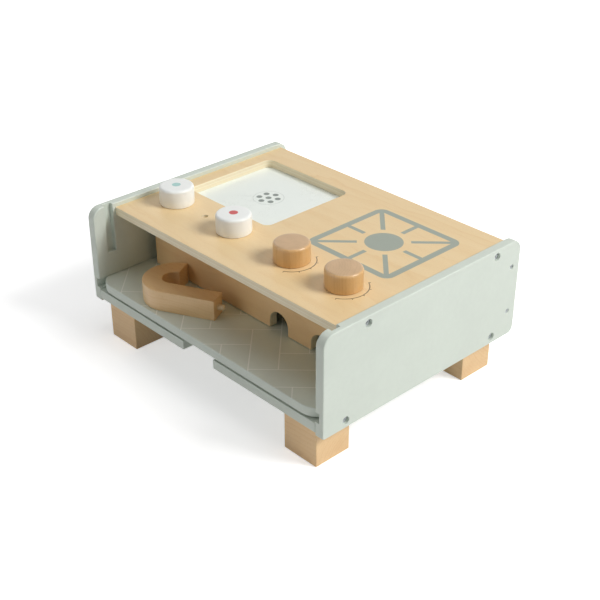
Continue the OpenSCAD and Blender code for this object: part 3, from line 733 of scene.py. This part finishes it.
def worktop_prints(graph, place):
    """Hob and dial marks on the worktop's upper face: a mask and its ink."""
    size = sizes()
    high = board_box("worktop")[1]
    knobs = [board_box(node)[2] for node in ("left_hob_knob", "right_hob_knob")]
    centre = ((knobs[0].x + knobs[1].x) / 2, high.y - size.hob_set_in, 0)
    marks = 0.0
    for knob in knobs:
        about = place - (knob.x, knob.y, 0)
        drawn = graph.group(
            dial_marks(), Vector=about, Radius=size.dial_radius, Line=size.dial_line, Tick=size.dial_tick,
        )
        marks = graph.most(marks, drawn["Mask"])
    upper = graph.step(graph.split(place)[2], high.z - 1.0 * MM, high.z - 0.4 * MM)
    worn = graph.span(graph.step(graph.noise(place, 900.0, 2.0, 0.6), 0.18, 0.3), 0.88, 0.97)
    ink = graph.mix(marks, colours().hob_ink, colours().dial_ink)
    return graph.most(hob_mask(graph, place, centre), marks) * upper * worn, ink


def drain_print(graph, place):
    """Seven drain holes printed in the middle of the sink panel, and round them a faint ring of painted
    shade.
    """
    size = sizes()
    middle = board_box("sink_panel")[2] + Vector((-size.drain_shift, size.drain_shift, 0))
    x, y, _ = graph.split(place - middle)
    radius = graph.length(x, y)
    mask = graph.inside(radius - size.drain_hole, DRAIN_EDGE)
    for index in range(6):
        turn = math.radians(30 + 60 * index)
        hole = (size.drain_radius * math.cos(turn), size.drain_radius * math.sin(turn), 0)
        away = graph.vector("LENGTH", graph.join(x, y) - hole)
        mask = graph.most(mask, graph.inside(away - size.drain_hole, DRAIN_EDGE))
    # Faint ring of painted shade round the drain, where a shallow recess would shade; it is not part of the
    # print.
    rim = graph.inside(abs(radius - size.drain_rim) - DRAIN_EDGE) * 0.3
    return graph.most(mask, rim), colours().drain_ink


def tap_dot(node, ink):
    """Draws the dot on top of that tap knob."""
    def draw(graph, place):
        _, high, middle = board_box(node)
        x, y, z = graph.split(place - middle)
        top = graph.math("GREATER_THAN", z, 0.4 * (high.z - middle.z))
        return graph.inside(graph.length(x, y) - sizes().tap_dot) * top * 0.94, ink
    return draw


def link_object(name, data):
    made = bpy.data.objects.new(name, data)
    bpy.context.scene.collection.objects.link(made)
    return made


def plain_mesh(piece):
    """Turns a piece's modifiers into its mesh and takes the modifiers away."""
    graph = bpy.context.evaluated_depsgraph_get()
    made = bpy.data.meshes.new_from_object(piece.evaluated_get(graph), depsgraph=graph)
    piece.modifiers.clear()
    old = piece.data
    piece.data = made
    bpy.data.meshes.remove(old)
    made.name = piece.name
    return piece


def stands_for(piece, *nodes):
    """Rides the piece on its nodes' body and replaces them."""
    first = NODES[nodes[0]]
    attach(piece, first["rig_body"])
    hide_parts(*nodes)
    return piece


def merged(mesh):
    """The mesh as a bmesh, its doubled vertices merged."""
    bm = bmesh.new()
    bm.from_mesh(mesh)
    bmesh.ops.remove_doubles(bm, verts=bm.verts, dist=MERGE)
    return bm


def clusters(items, neighbours):
    """Splits items into lists of those that hang together by their neighbours."""
    left, found = set(items), []
    while left:
        cluster, open_ends = [], [left.pop()]
        while open_ends:
            item = open_ends.pop()
            cluster.append(item)
            near = left.intersection(neighbours(item))
            left -= near
            open_ends.extend(near)
        found.append(cluster)
    return found


def corners(verts):
    """Lowest and highest corner of the box round some vertices."""
    points = [v.co for v in verts]
    return [Vector([pick(p[i] for p in points) for i in range(3)]) for pick in (min, max)]


def arris_chains(bm):
    """The convex sharp edges in two lists: outer arrises, and the rims of screw and pin holes."""
    sharp = [e for e in bm.edges if e.is_convex and e.calc_face_angle(0) > ARRIS_ANGLE]
    outer, rims = [], []
    for chain in clusters(sharp, lambda edge: [e for v in edge.verts for e in v.link_edges]):
        low, high = corners(v for e in chain for v in e.verts)
        (rims if max(high - low) < HOLE_SPAN else outer).extend(chain)
    return [sorted(group, key=lambda e: e.index) for group in (outer, rims)]


def groove_edges(bm, edges):
    """Those of the edges that lie well inside the outline of the board's box."""
    low, high = corners(bm.verts)
    found = []
    for edge in edges:
        first, second = (v.co for v in edge.verts)
        run = max(range(3), key=lambda i: abs(second[i] - first[i]))
        middle = (first + second) / 2
        inset = max(min(middle[i] - low[i], high[i] - middle[i]) for i in range(3) if i != run)
        if inset > OUTLINE_INSET:
            found.append(edge)
    return found


def check_closed(piece):
    """Stops where a piece's surface is empty or open."""
    bm = bmesh.new()
    bm.from_mesh(piece.data)
    closed = len(bm.faces) > 0 and all(len(e.link_faces) == 2 for e in bm.edges)
    bm.free()
    if not closed:
        raise RuntimeError(f"{piece.name} isn't a closed shape")


def rounded_copy(node, name, radius, rim_radius, groove_radius):
    """A merged copy of a CAD board with rounded arrises and softly eased hole rims and grooves."""
    bm = merged(NODES[node].data)
    bmesh.ops.dissolve_limit(bm, angle_limit=FLAT_ANGLE, verts=bm.verts, edges=bm.edges)
    weight = bm.edges.layers.float.new("bevel_weight_edge")
    bm.edges.index_update()
    outer, rims = arris_chains(bm)
    grooves = groove_edges(bm, outer)
    for edges, edge_radius in ((outer, radius), (grooves, groove_radius), (rims, rim_radius)):
        for edge in edges:
            edge[weight] = edge_radius / radius
    mesh = bpy.data.meshes.new(name)
    bm.to_mesh(mesh)
    bm.free()
    piece = link_object(name, mesh)
    rounding = piece.modifiers.new("arrises", "BEVEL")
    rounding.limit_method = "WEIGHT"
    rounding.width = radius
    rounding.segments = ROUND_STEPS
    rounding.use_clamp_overlap = False
    plain_mesh(piece)
    check_closed(piece)
    piece.data.shade_smooth()
    piece.data.set_sharp_from_angle(angle=SHARP_ANGLE)
    even = piece.modifiers.new("even_normals", "WEIGHTED_NORMAL")
    even.keep_sharp = True
    return plain_mesh(piece)


def board(node, name, material, radius, groove_radius=None):
    """A finished board: its rounded copy with a material, standing for its CAD node."""
    groove_radius = radius if groove_radius is None else groove_radius
    piece = rounded_copy(node, name, radius, sizes().hole_round, groove_radius)
    piece.data.materials.clear()
    piece.data.materials.append(material)
    return stands_for(piece, node)


def grey_boards(names, radius, groove_radius=None):
    """Paints and rounds plain grey boards, given as node: name."""
    for node, name in names.items():
        material = paint_material(f"grey_paint_{name}", node, colours().grey_paint)
        board(node, name, material, radius, groove_radius)


def lathe(name, inputs, rings, around):
    """A Geometry Nodes tree that turns rings about Z and sets the turned shape on every point.

    rings gets the graph, the group's inputs and the angle, and gives a list of radius and height pairs.
    Where a ring's radius depends on the angle, the turned shape isn't round, as in a screw's recess.
    """
    graph, given = new_group(
        name,
        {"Geometry": "NodeSocketGeometry", **inputs, "Axis": (0, 0, 1), "Material": "NodeSocketMaterial"},
        "GeometryNodeTree",
    )
    x, y, _ = graph.split(graph.out("GeometryNodeInputPosition"))
    angle = (y + 0.5) * math.tau
    profile = rings(graph, given, angle)
    count = len(profile)
    index = graph.math("ROUND", x + (count - 1) / 2)

    def chosen(values):
        """The value of the ring that a vertex belongs to."""
        switch = graph.node("GeometryNodeIndexSwitch", data_type="FLOAT")
        while len(switch.index_switch_items) < count:
            switch.index_switch_items.new()
        for socket, value in zip(switch.inputs, (index, *values)):
            graph.feed(socket, value)
        return Value(graph, switch.outputs[0])

    radius, height = (chosen(values) for values in zip(*profile))
    cosine, sine = graph.math("COSINE", angle), graph.math("SINE", angle)
    grid = graph.out(
        "GeometryNodeMeshGrid",
        {"Size X": count - 1.0, "Size Y": 1.0, "Vertices X": count, "Vertices Y": around + 1}, "Mesh",
    )
    turned = graph.join(radius * cosine, radius * sine, height)
    shaped = graph.out("GeometryNodeSetPosition", {"Geometry": grid, "Position": turned})
    closed = graph.out("GeometryNodeMergeByDistance", {"Geometry": shaped, "Distance": SEAM})
    aligned = graph.out("FunctionNodeAlignRotationToVector", {"Vector": given["Axis"]}, axis="Z")
    spin = graph.out(
        "FunctionNodeRandomValue", {"Max": math.tau, "Seed": SPIN_SEED}, output=1, data_type="FLOAT",
    )
    own_turn = graph.out("FunctionNodeEulerToRotation", {"Euler": graph.join(z=spin)})
    rotation = graph.out(
        "FunctionNodeRotateRotation", {"Rotation": aligned, "Rotate By": own_turn},
        rotation_space="LOCAL",
    )
    spread = graph.out(
        "GeometryNodeInstanceOnPoints",
        {"Points": given["Geometry"], "Instance": closed, "Rotation": rotation},
    )
    real = graph.out("GeometryNodeRealizeInstances", {"Geometry": spread})
    finished = graph.out("GeometryNodeSetMaterial", {"Geometry": real, "Material": given["Material"]})
    return graph.close_group("NodeSocketGeometry", Geometry=finished)


def turned_piece(name, tree, places, values):
    """Runs a lathe tree on a mesh of points and gives its closed, smooth result as a plain mesh object."""
    mesh = bpy.data.meshes.new(name)
    mesh.from_pydata([tuple(p) for p in places], [], [])
    piece = link_object(name, mesh)
    modifier = piece.modifiers.new(tree.name, "NODES")
    modifier.node_group = tree
    sockets = {item.name: item.identifier for item in tree.interface.items_tree if item.in_out == "INPUT"}
    for label, value in values.items():
        modifier[sockets[label]] = value
    plain_mesh(piece)
    bm = merged(piece.data)
    bmesh.ops.recalc_face_normals(bm, faces=bm.faces)
    for face in bm.faces:
        face.smooth = True
    bm.to_mesh(piece.data)
    bm.free()
    check_closed(piece)
    piece.data.set_sharp_from_angle(angle=SHARP_ANGLE)
    return piece


def arc_rings(radius, height, edge, steps):
    """Quarter round from the side to the top of a turned piece."""
    turns = [math.pi / 2 * index / steps for index in range(steps + 1)]
    return [(radius - edge * (1 - math.cos(turn)), height - edge * (1 - math.sin(turn))) for turn in turns]


def knob_rings(graph, given, angle):
    """Knob from its screw hole over the base chamfer and the side to a slightly domed top."""
    radius, hole, depth = given["Diameter"] * 0.5, given["Bore Diameter"] * 0.5, given["Bore Depth"]
    chamfer, height, edge = given["Base Chamfer"], given["Height"], given["Edge Radius"]
    flat = height - given["Crown Rise"]
    crown = radius - edge
    return [
        (0.0, depth), (hole, depth), (hole, 0.0),
        (radius - chamfer, 0.0), (radius - chamfer * 0.3, chamfer * 0.3),
        (radius, chamfer), (radius, height * 0.35), (radius, height * 0.62),
        *arc_rings(radius, flat, edge, 7),
        (crown * 0.8, flat + given["Crown Rise"] * 0.5), (crown * 0.45, flat + given["Crown Rise"] * 0.88),
        (0.0, height),
    ]


def screw_rings(graph, given, angle):
    """Screw from its recess over the head to the shank's tip; the head's face is at zero height."""
    sector = math.tau / given["Sides"]
    half_sector = sector * 0.5
    folded = graph.math("FLOORED_MODULO", angle + half_sector, sector) - half_sector
    flank = given["Recess Width"] * 0.5 / graph.math("COSINE", folded)
    slant = graph.most(abs(graph.math("SINE", folded)), 0.001)
    recess = graph.least(flank, given["Arm Width"] * 0.5 / slant)
    head, shank, rim = given["Head Diameter"] * 0.5, given["Shank Diameter"] * 0.5, given["Rim"]
    under = head + given["Cone"] * (shank - head)
    below, tip, floor = (given[label] * -1.0 for label in ("Head Height", "Length", "Recess Depth"))
    return [
        (0.0, floor * 1.15), (recess * 0.8, floor), (recess * 0.98, rim * -0.5), (recess * 1.06, 0.0),
        *reversed(arc_rings(head, 0.0, rim, 3)),
        (under, below), (shank, below), (shank, tip + shank), (shank * 0.4, tip), (0.0, tip),
    ]


@cached_group
def knob_lathe(name):
    return lathe(
        name,
        {
            "Diameter": 36 * MM, "Height": 20 * MM, "Edge Radius": 2 * MM, "Crown Rise": 0.2 * MM,
            "Base Chamfer": 0.6 * MM, "Bore Diameter": 4 * MM, "Bore Depth": 12 * MM,
        },
        knob_rings, KNOB_SIDES,
    )


@cached_group
def screw_lathe(name):
    return lathe(
        name,
        {
            "Head Diameter": 8 * MM, "Head Height": 3 * MM, "Rim": 0.4 * MM, "Cone": 0.0, "Sides": 6.0,
            "Recess Width": 4 * MM, "Arm Width": 1.0, "Recess Depth": 2 * MM, "Shank Diameter": 5 * MM,
            "Length": 30 * MM,
        },
        screw_rings, SCREW_SIDES,
    )


def solid_boxes(node):
    """Lowest and highest corner of each separate solid in a CAD node."""
    bm = merged(NODES[node].data)
    solids = clusters(bm.verts, lambda vert: [v for e in vert.link_edges for v in e.verts])
    found = [corners(solid) for solid in solids]
    bm.free()
    return sorted(found, key=lambda pair: tuple(round(c, 6) for c in pair[0]))


def screws(node, name, axis, outward, kind):
    """Recessed screws in the place of a node's screws, their heads facing outward along the axis."""
    boxes = solid_boxes(node)
    places = []
    for low, high in boxes:
        place = (low + high) / 2
        place[axis] = high[axis] if outward > 0 else low[axis]
        places.append(place)
    low, high = boxes[0]
    direction = [0.0, 0.0, 0.0]
    direction[axis] = float(outward)
    piece = turned_piece(name, screw_lathe(), places, {
        **kind, "Head Diameter": high[(axis + 1) % 3] - low[(axis + 1) % 3],
        "Length": high[axis] - low[axis], "Axis": direction, "Material": zinc(),
    })
    return stands_for(piece, node)


def turned_knob(node, name, material, edge):
    """A knob with a blind hole, base chamfer and rounded, slightly domed top in its CAD knob's place."""
    size = sizes()
    low, high, middle = board_box(node)
    piece = turned_piece(name, knob_lathe(), [(middle.x, middle.y, low.z)], {
        "Diameter": high.x - low.x, "Height": high.z - low.z, "Edge Radius": edge,
        "Crown Rise": size.crown_rise, "Base Chamfer": size.knob_chamfer,
        "Bore Diameter": size.knob_bore, "Bore Depth": size.knob_bore_depth,
        "Axis": (0.0, 0.0, 1.0), "Material": material,
    })
    return stands_for(piece, node)


def dress(node, material):
    """Gives a CAD node that is shown as it is its finish."""
    NODES[node].data.materials[0] = material


class PieceOperator:
    """Shared settings of the operators that finish pieces"""

    bl_options = {"REGISTER", "UNDO"}


class OVEN_OT_side_panels(PieceOperator, bpy.types.Operator):
    """Finish the two grey side panels"""

    bl_idname = "oven.side_panels"
    bl_label = "Side panels"

    def execute(self, context):
        names = {"side_panel_left": "left_side_panel", "side_panel_right": "right_side_panel"}
        grey_boards(names, sizes().paint_round, sizes().groove_round)
        return {"FINISHED"}


class OVEN_OT_base_and_front(PieceOperator, bpy.types.Operator):
    """Finish the base board and the board round the oven door"""

    bl_idname = "oven.base_and_front"
    bl_label = "Base and front boards"

    def execute(self, context):
        grey_boards({"base_board": "notched_base", "front_board": "oven_front"}, sizes().base_round)
        return {"FINISHED"}


class OVEN_OT_worktop(PieceOperator, bpy.types.Operator):
    """Finish the veneered worktop with its hob and dial prints"""

    bl_idname = "oven.worktop"
    bl_label = "Worktop"

    def execute(self, context):
        paint = colours()
        material = veneered_material(
            "veneer_worktop", "worktop", paint.veneer_light, paint.veneer_dark, 2, worktop_prints,
        )
        board("worktop", "printed_worktop", material, sizes().wood_round)
        return {"FINISHED"}


class OVEN_OT_sink(PieceOperator, bpy.types.Operator):
    """Finish the white sink panel with its printed drain"""

    bl_idname = "oven.sink"
    bl_label = "Sink panel"

    def execute(self, context):
        material = paint_material(
            "white_paint_sink", "sink_panel", colours().sink_paint, drain_print, roughness=0.3, mottle=0.012,
        )
        board("sink_panel", "sink_floor", material, sizes().sink_round)
        return {"FINISHED"}


class OVEN_OT_partition(PieceOperator, bpy.types.Operator):
    """Finish the hanging partition board with its arched notches"""

    bl_idname = "oven.partition"
    bl_label = "Partition board"

    def execute(self, context):
        paint = colours()
        material = veneered_material(
            "veneer_partition", "partition_board", paint.beech_light, paint.beech_dark, 1,
        )
        board("partition_board", "arched_partition", material, sizes().wood_round)
        dress("partition_dowels", dowel_material("birch_dowels", "partition_dowels"))
        return {"FINISHED"}


class OVEN_OT_feet(PieceOperator, bpy.types.Operator):
    """Finish the four solid beech feet"""

    bl_idname = "oven.feet"
    bl_label = "Feet"

    def execute(self, context):
        for place in ("near_left", "near_right", "far_left", "far_right"):
            node, name = f"{place}_foot", f"foot_{place}"
            board(node, name, beech_material(f"beech_{name}", node, lacquer=0.12), sizes().foot_round)
        return {"FINISHED"}


class OVEN_OT_splashback(PieceOperator, bpy.types.Operator):
    """Finish the stored splashback with its printed tiles"""

    bl_idname = "oven.splashback"
    bl_label = "Splashback"

    def execute(self, context):
        material = paint_material("grey_paint_splashback", "splashback", colours().grey_paint, tile_lines)
        board("splashback", "tiled_splashback", material, sizes().splash_round)
        return {"FINISHED"}


class OVEN_OT_spout(PieceOperator, bpy.types.Operator):
    """Finish the stored tap spout and its peg"""

    bl_idname = "oven.spout"
    bl_label = "Tap spout"

    def execute(self, context):
        spout = beech_material("beech_spout", "tap_spout", lacquer=0.2)
        board("tap_spout", "hooked_spout", spout, sizes().wood_round)
        board("tap_pin", "spout_peg", dowel_material("birch_peg", "tap_pin"), sizes().peg_round)
        return {"FINISHED"}


class OVEN_OT_tap_knobs(PieceOperator, bpy.types.Operator):
    """Turn the two white tap knobs with their dots"""

    bl_idname = "oven.tap_knobs"
    bl_label = "Tap knobs"

    def execute(self, context):
        paint = colours()
        for side, ink in (("cold", paint.cold_dot), ("hot", paint.hot_dot)):
            node, name = f"{side}_knob", f"{side}_tap_knob"
            material = paint_material(
                f"white_paint_{name}", node, paint.white_paint, tap_dot(node, ink),
                roughness=0.34, mottle=0.012,
            )
            turned_knob(node, name, material, sizes().tap_knob_round)
        return {"FINISHED"}


class OVEN_OT_hob_knobs(PieceOperator, bpy.types.Operator):
    """Turn the two lacquered beech hob knobs"""

    bl_idname = "oven.hob_knobs"
    bl_label = "Hob knobs"

    def execute(self, context):
        paint = colours()
        for node in ("left_hob_knob", "right_hob_knob"):
            material = beech_material(
                f"lacquer_{node}", node, lacquer=0.45, tones=(paint.knob_light, paint.knob_dark), along=2,
                spacing=sizes().knob_ring, ends=paint.knob_top,
            )
            turned_knob(node, f"beech_{node}", material, sizes().hob_knob_round)
        return {"FINISHED"}


class OVEN_OT_oven_door(PieceOperator, bpy.types.Operator):
    """Finish the oven door, its window, handle and catch"""

    bl_idname = "oven.oven_door"
    bl_label = "Oven door"

    def execute(self, context):
        size = sizes()
        door = paint_material("grey_paint_door", "oven_door", colours().grey_paint)
        board("oven_door", "drop_down_door", door, size.base_round)
        board("door_window", "window_pane", pane_material("clear_acrylic"), size.pane_round)
        handle = beech_material("beech_handle", "door_handle", lacquer=0.3)
        board("door_handle", "coved_handle", handle, size.handle_round)
        board("catch_block", "catch_stop", dowel_material("birch_catch", "catch_block"), size.wood_round)
        return {"FINISHED"}


class OVEN_OT_screws(PieceOperator, bpy.types.Operator):
    """Set all the screws, and finish the washers, pins, magnet and strike plate"""

    bl_idname = "oven.screws"
    bl_label = "Screws and small metal"

    def execute(self, context):
        size = sizes()
        bolt = {
            "Sides": 6.0, "Arm Width": 1.0, "Head Height": size.bolt_head, "Rim": size.bolt_rim, "Cone": 0.0,
            "Recess Width": size.bolt_recess, "Recess Depth": size.bolt_recess_depth,
            "Shank Diameter": size.bolt_shank,
        }
        sunk = {
            "Sides": 4.0, "Arm Width": size.screw_recess_arm, "Head Height": size.screw_head,
            "Rim": size.screw_rim, "Cone": 1.0, "Recess Width": size.screw_recess,
            "Recess Depth": size.screw_recess_depth, "Shank Diameter": size.screw_shank,
        }
        pan = {**sunk, "Head Height": size.pan_head, "Rim": size.pan_rim, "Cone": 0.0}
        for nodes, fixings, kind in (
            ("panel_screws", "panel_bolts", bolt), ("front_screws", "front_screws", sunk),
        ):
            screws(f"{nodes}_left", f"left_{fixings}", 0, -1, kind)
            screws(f"{nodes}_right", f"right_{fixings}", 0, 1, kind)
        screws("foot_screws", "foot_fixings", 2, 1, sunk)
        screws("door_handle_screws", "handle_fixings", 1, -1, sunk)
        screws("sink_screws", "sink_fixings", 2, -1, {**pan, "Shank Diameter": size.sink_shank})
        for knob in ("cold_knob", "hot_knob", "left_hob_knob", "right_hob_knob"):
            kind = {**pan, "Shank Diameter": size.axle_shank}
            screws(f"{knob}_screw", f"{knob}_axle", 2, -1, kind)
        for node in ("knob_washers", "door_pivot_pins", "catch_magnet", "strike_plate"):
            dress(node, zinc())
        return {"FINISHED"}


def soft_lamp(name, place, size, power):
    """A square area lamp that looks at the oven."""
    lamp = bpy.data.lights.new(name, "AREA")
    lamp.size = size
    lamp.energy = power
    aim = Vector(LAMP_TARGET) - Vector(place)
    turn = aim.to_track_quat("-Z", "Y").to_matrix().to_4x4()
    link_object(name, lamp).matrix_world = Matrix.Translation(place) @ turn


def seen_directly(graph):
    """1 for camera, mirror and glass rays."""
    kinds = ("Is Camera Ray", "Is Glossy Ray", "Is Transmission Ray")
    return graph.most(*(graph.out("ShaderNodeLightPath", output=kind) for kind in kinds))


class OVEN_OT_stage(PieceOperator, bpy.types.Operator):
    """Set the floor, the soft lamps, the pale surroundings and the camera"""

    bl_idname = "oven.stage"
    bl_label = "Stage"

    def execute(self, context):
        scene = context.scene
        values = scene.oven_stage
        self.make_floor(values)
        for name, (place, size, power) in LAMPS.items():
            soft_lamp(name, place, size, getattr(values, power))
        self.make_world(scene, values)
        self.make_camera(scene, values)
        scene.view_settings.view_transform = "Standard"
        return {"FINISHED"}

    def make_floor(self, values):
        corner_signs = ((-1, -1), (1, -1), (1, 1), (-1, 1))
        mesh = bpy.data.meshes.new("floor")
        mesh.from_pydata([(x * FLOOR_HALF, y * FLOOR_HALF, 0) for x, y in corner_signs], [], [(0, 1, 2, 3)])
        material, graph, place = new_material("pale_floor")
        x, y, _ = graph.split(place)
        away = graph.step(graph.length(x, y), values.glow_start, values.glow_end)
        mesh.materials.append(surfaced(material, graph, {
            "Base Color": graph.mix(graph.noise(place, 3.0), (0.86, 0.86, 0.86), (0.87, 0.87, 0.87)),
            "Roughness": 0.9, "Specular IOR Level": 0.1, "Emission Color": (1, 1, 1),
            "Emission Strength": seen_directly(graph) * graph.span(away, values.floor_lift, 1.0),
        }))
        link_object("floor", mesh)

    def make_world(self, scene, values):
        world = bpy.data.worlds.new("pale_room")
        world.use_nodes = True
        world.node_tree.nodes.clear()
        graph = Graph(world.node_tree)
        strength = graph.span(seen_directly(graph), values.ambient, 1.0)
        light = graph.out("ShaderNodeBackground", {"Color": (1.0, 1.0, 1.0), "Strength": strength})
        graph.node("ShaderNodeOutputWorld", {"Surface": light})
        scene.world = world

    def make_camera(self, scene, values):
        camera = link_object("camera", bpy.data.cameras.new("camera"))
        camera.data.lens = values.lens
        camera.data.clip_start, camera.data.clip_end = 0.05, 50.0
        turn, rise, roll = values.azimuth, values.elevation, values.roll
        back = Vector((math.sin(turn) * math.cos(rise), -math.cos(turn) * math.cos(rise), math.sin(rise)))
        right = Vector((math.cos(turn), math.sin(turn), 0.0))
        up = back.cross(right)
        rolled_right = math.cos(roll) * right + math.sin(roll) * up
        rolled_up = math.cos(roll) * up - math.sin(roll) * right
        axes = Matrix((rolled_right, rolled_up, back)).transposed().to_4x4()
        camera.matrix_world = Matrix.Translation(values.camera_place) @ axes
        scene.camera = camera


OPERATORS = (
    OVEN_OT_side_panels, OVEN_OT_base_and_front, OVEN_OT_worktop, OVEN_OT_sink, OVEN_OT_partition,
    OVEN_OT_feet, OVEN_OT_splashback, OVEN_OT_spout, OVEN_OT_tap_knobs, OVEN_OT_hob_knobs,
    OVEN_OT_oven_door, OVEN_OT_screws, OVEN_OT_stage,
)


class OVEN_PT_pieces(bpy.types.Panel):
    """Lists the toy oven's pieces and their colours"""

    bl_idname = "OVEN_PT_pieces"
    bl_label = "Toy oven"
    bl_space_type = "VIEW_3D"
    bl_region_type = "UI"
    bl_category = "Toy oven"

    def draw(self, context):
        layout = self.layout
        for operator in OPERATORS:
            layout.operator(operator.bl_idname)
        for group in (context.scene.oven_colours, context.scene.oven_sizes, context.scene.oven_stage):
            box = layout.box()
            for label in group.__annotations__:
                box.prop(group, label)


CLASSES = (OvenColours, OvenSizes, OvenStage, *OPERATORS, OVEN_PT_pieces)


def register():
    for each in CLASSES:
        bpy.utils.register_class(each)
    bpy.types.Scene.oven_colours = PointerProperty(type=OvenColours)
    bpy.types.Scene.oven_sizes = PointerProperty(type=OvenSizes)
    bpy.types.Scene.oven_stage = PointerProperty(type=OvenStage)


def unregister():
    del bpy.types.Scene.oven_stage
    del bpy.types.Scene.oven_sizes
    del bpy.types.Scene.oven_colours
    for each in reversed(CLASSES):
        bpy.utils.unregister_class(each)


def main():
    register()
    for operator in OPERATORS:
        group, name = operator.bl_idname.split(".")
        getattr(getattr(bpy.ops, group), name)()


if __name__ == "__main__":
    main()
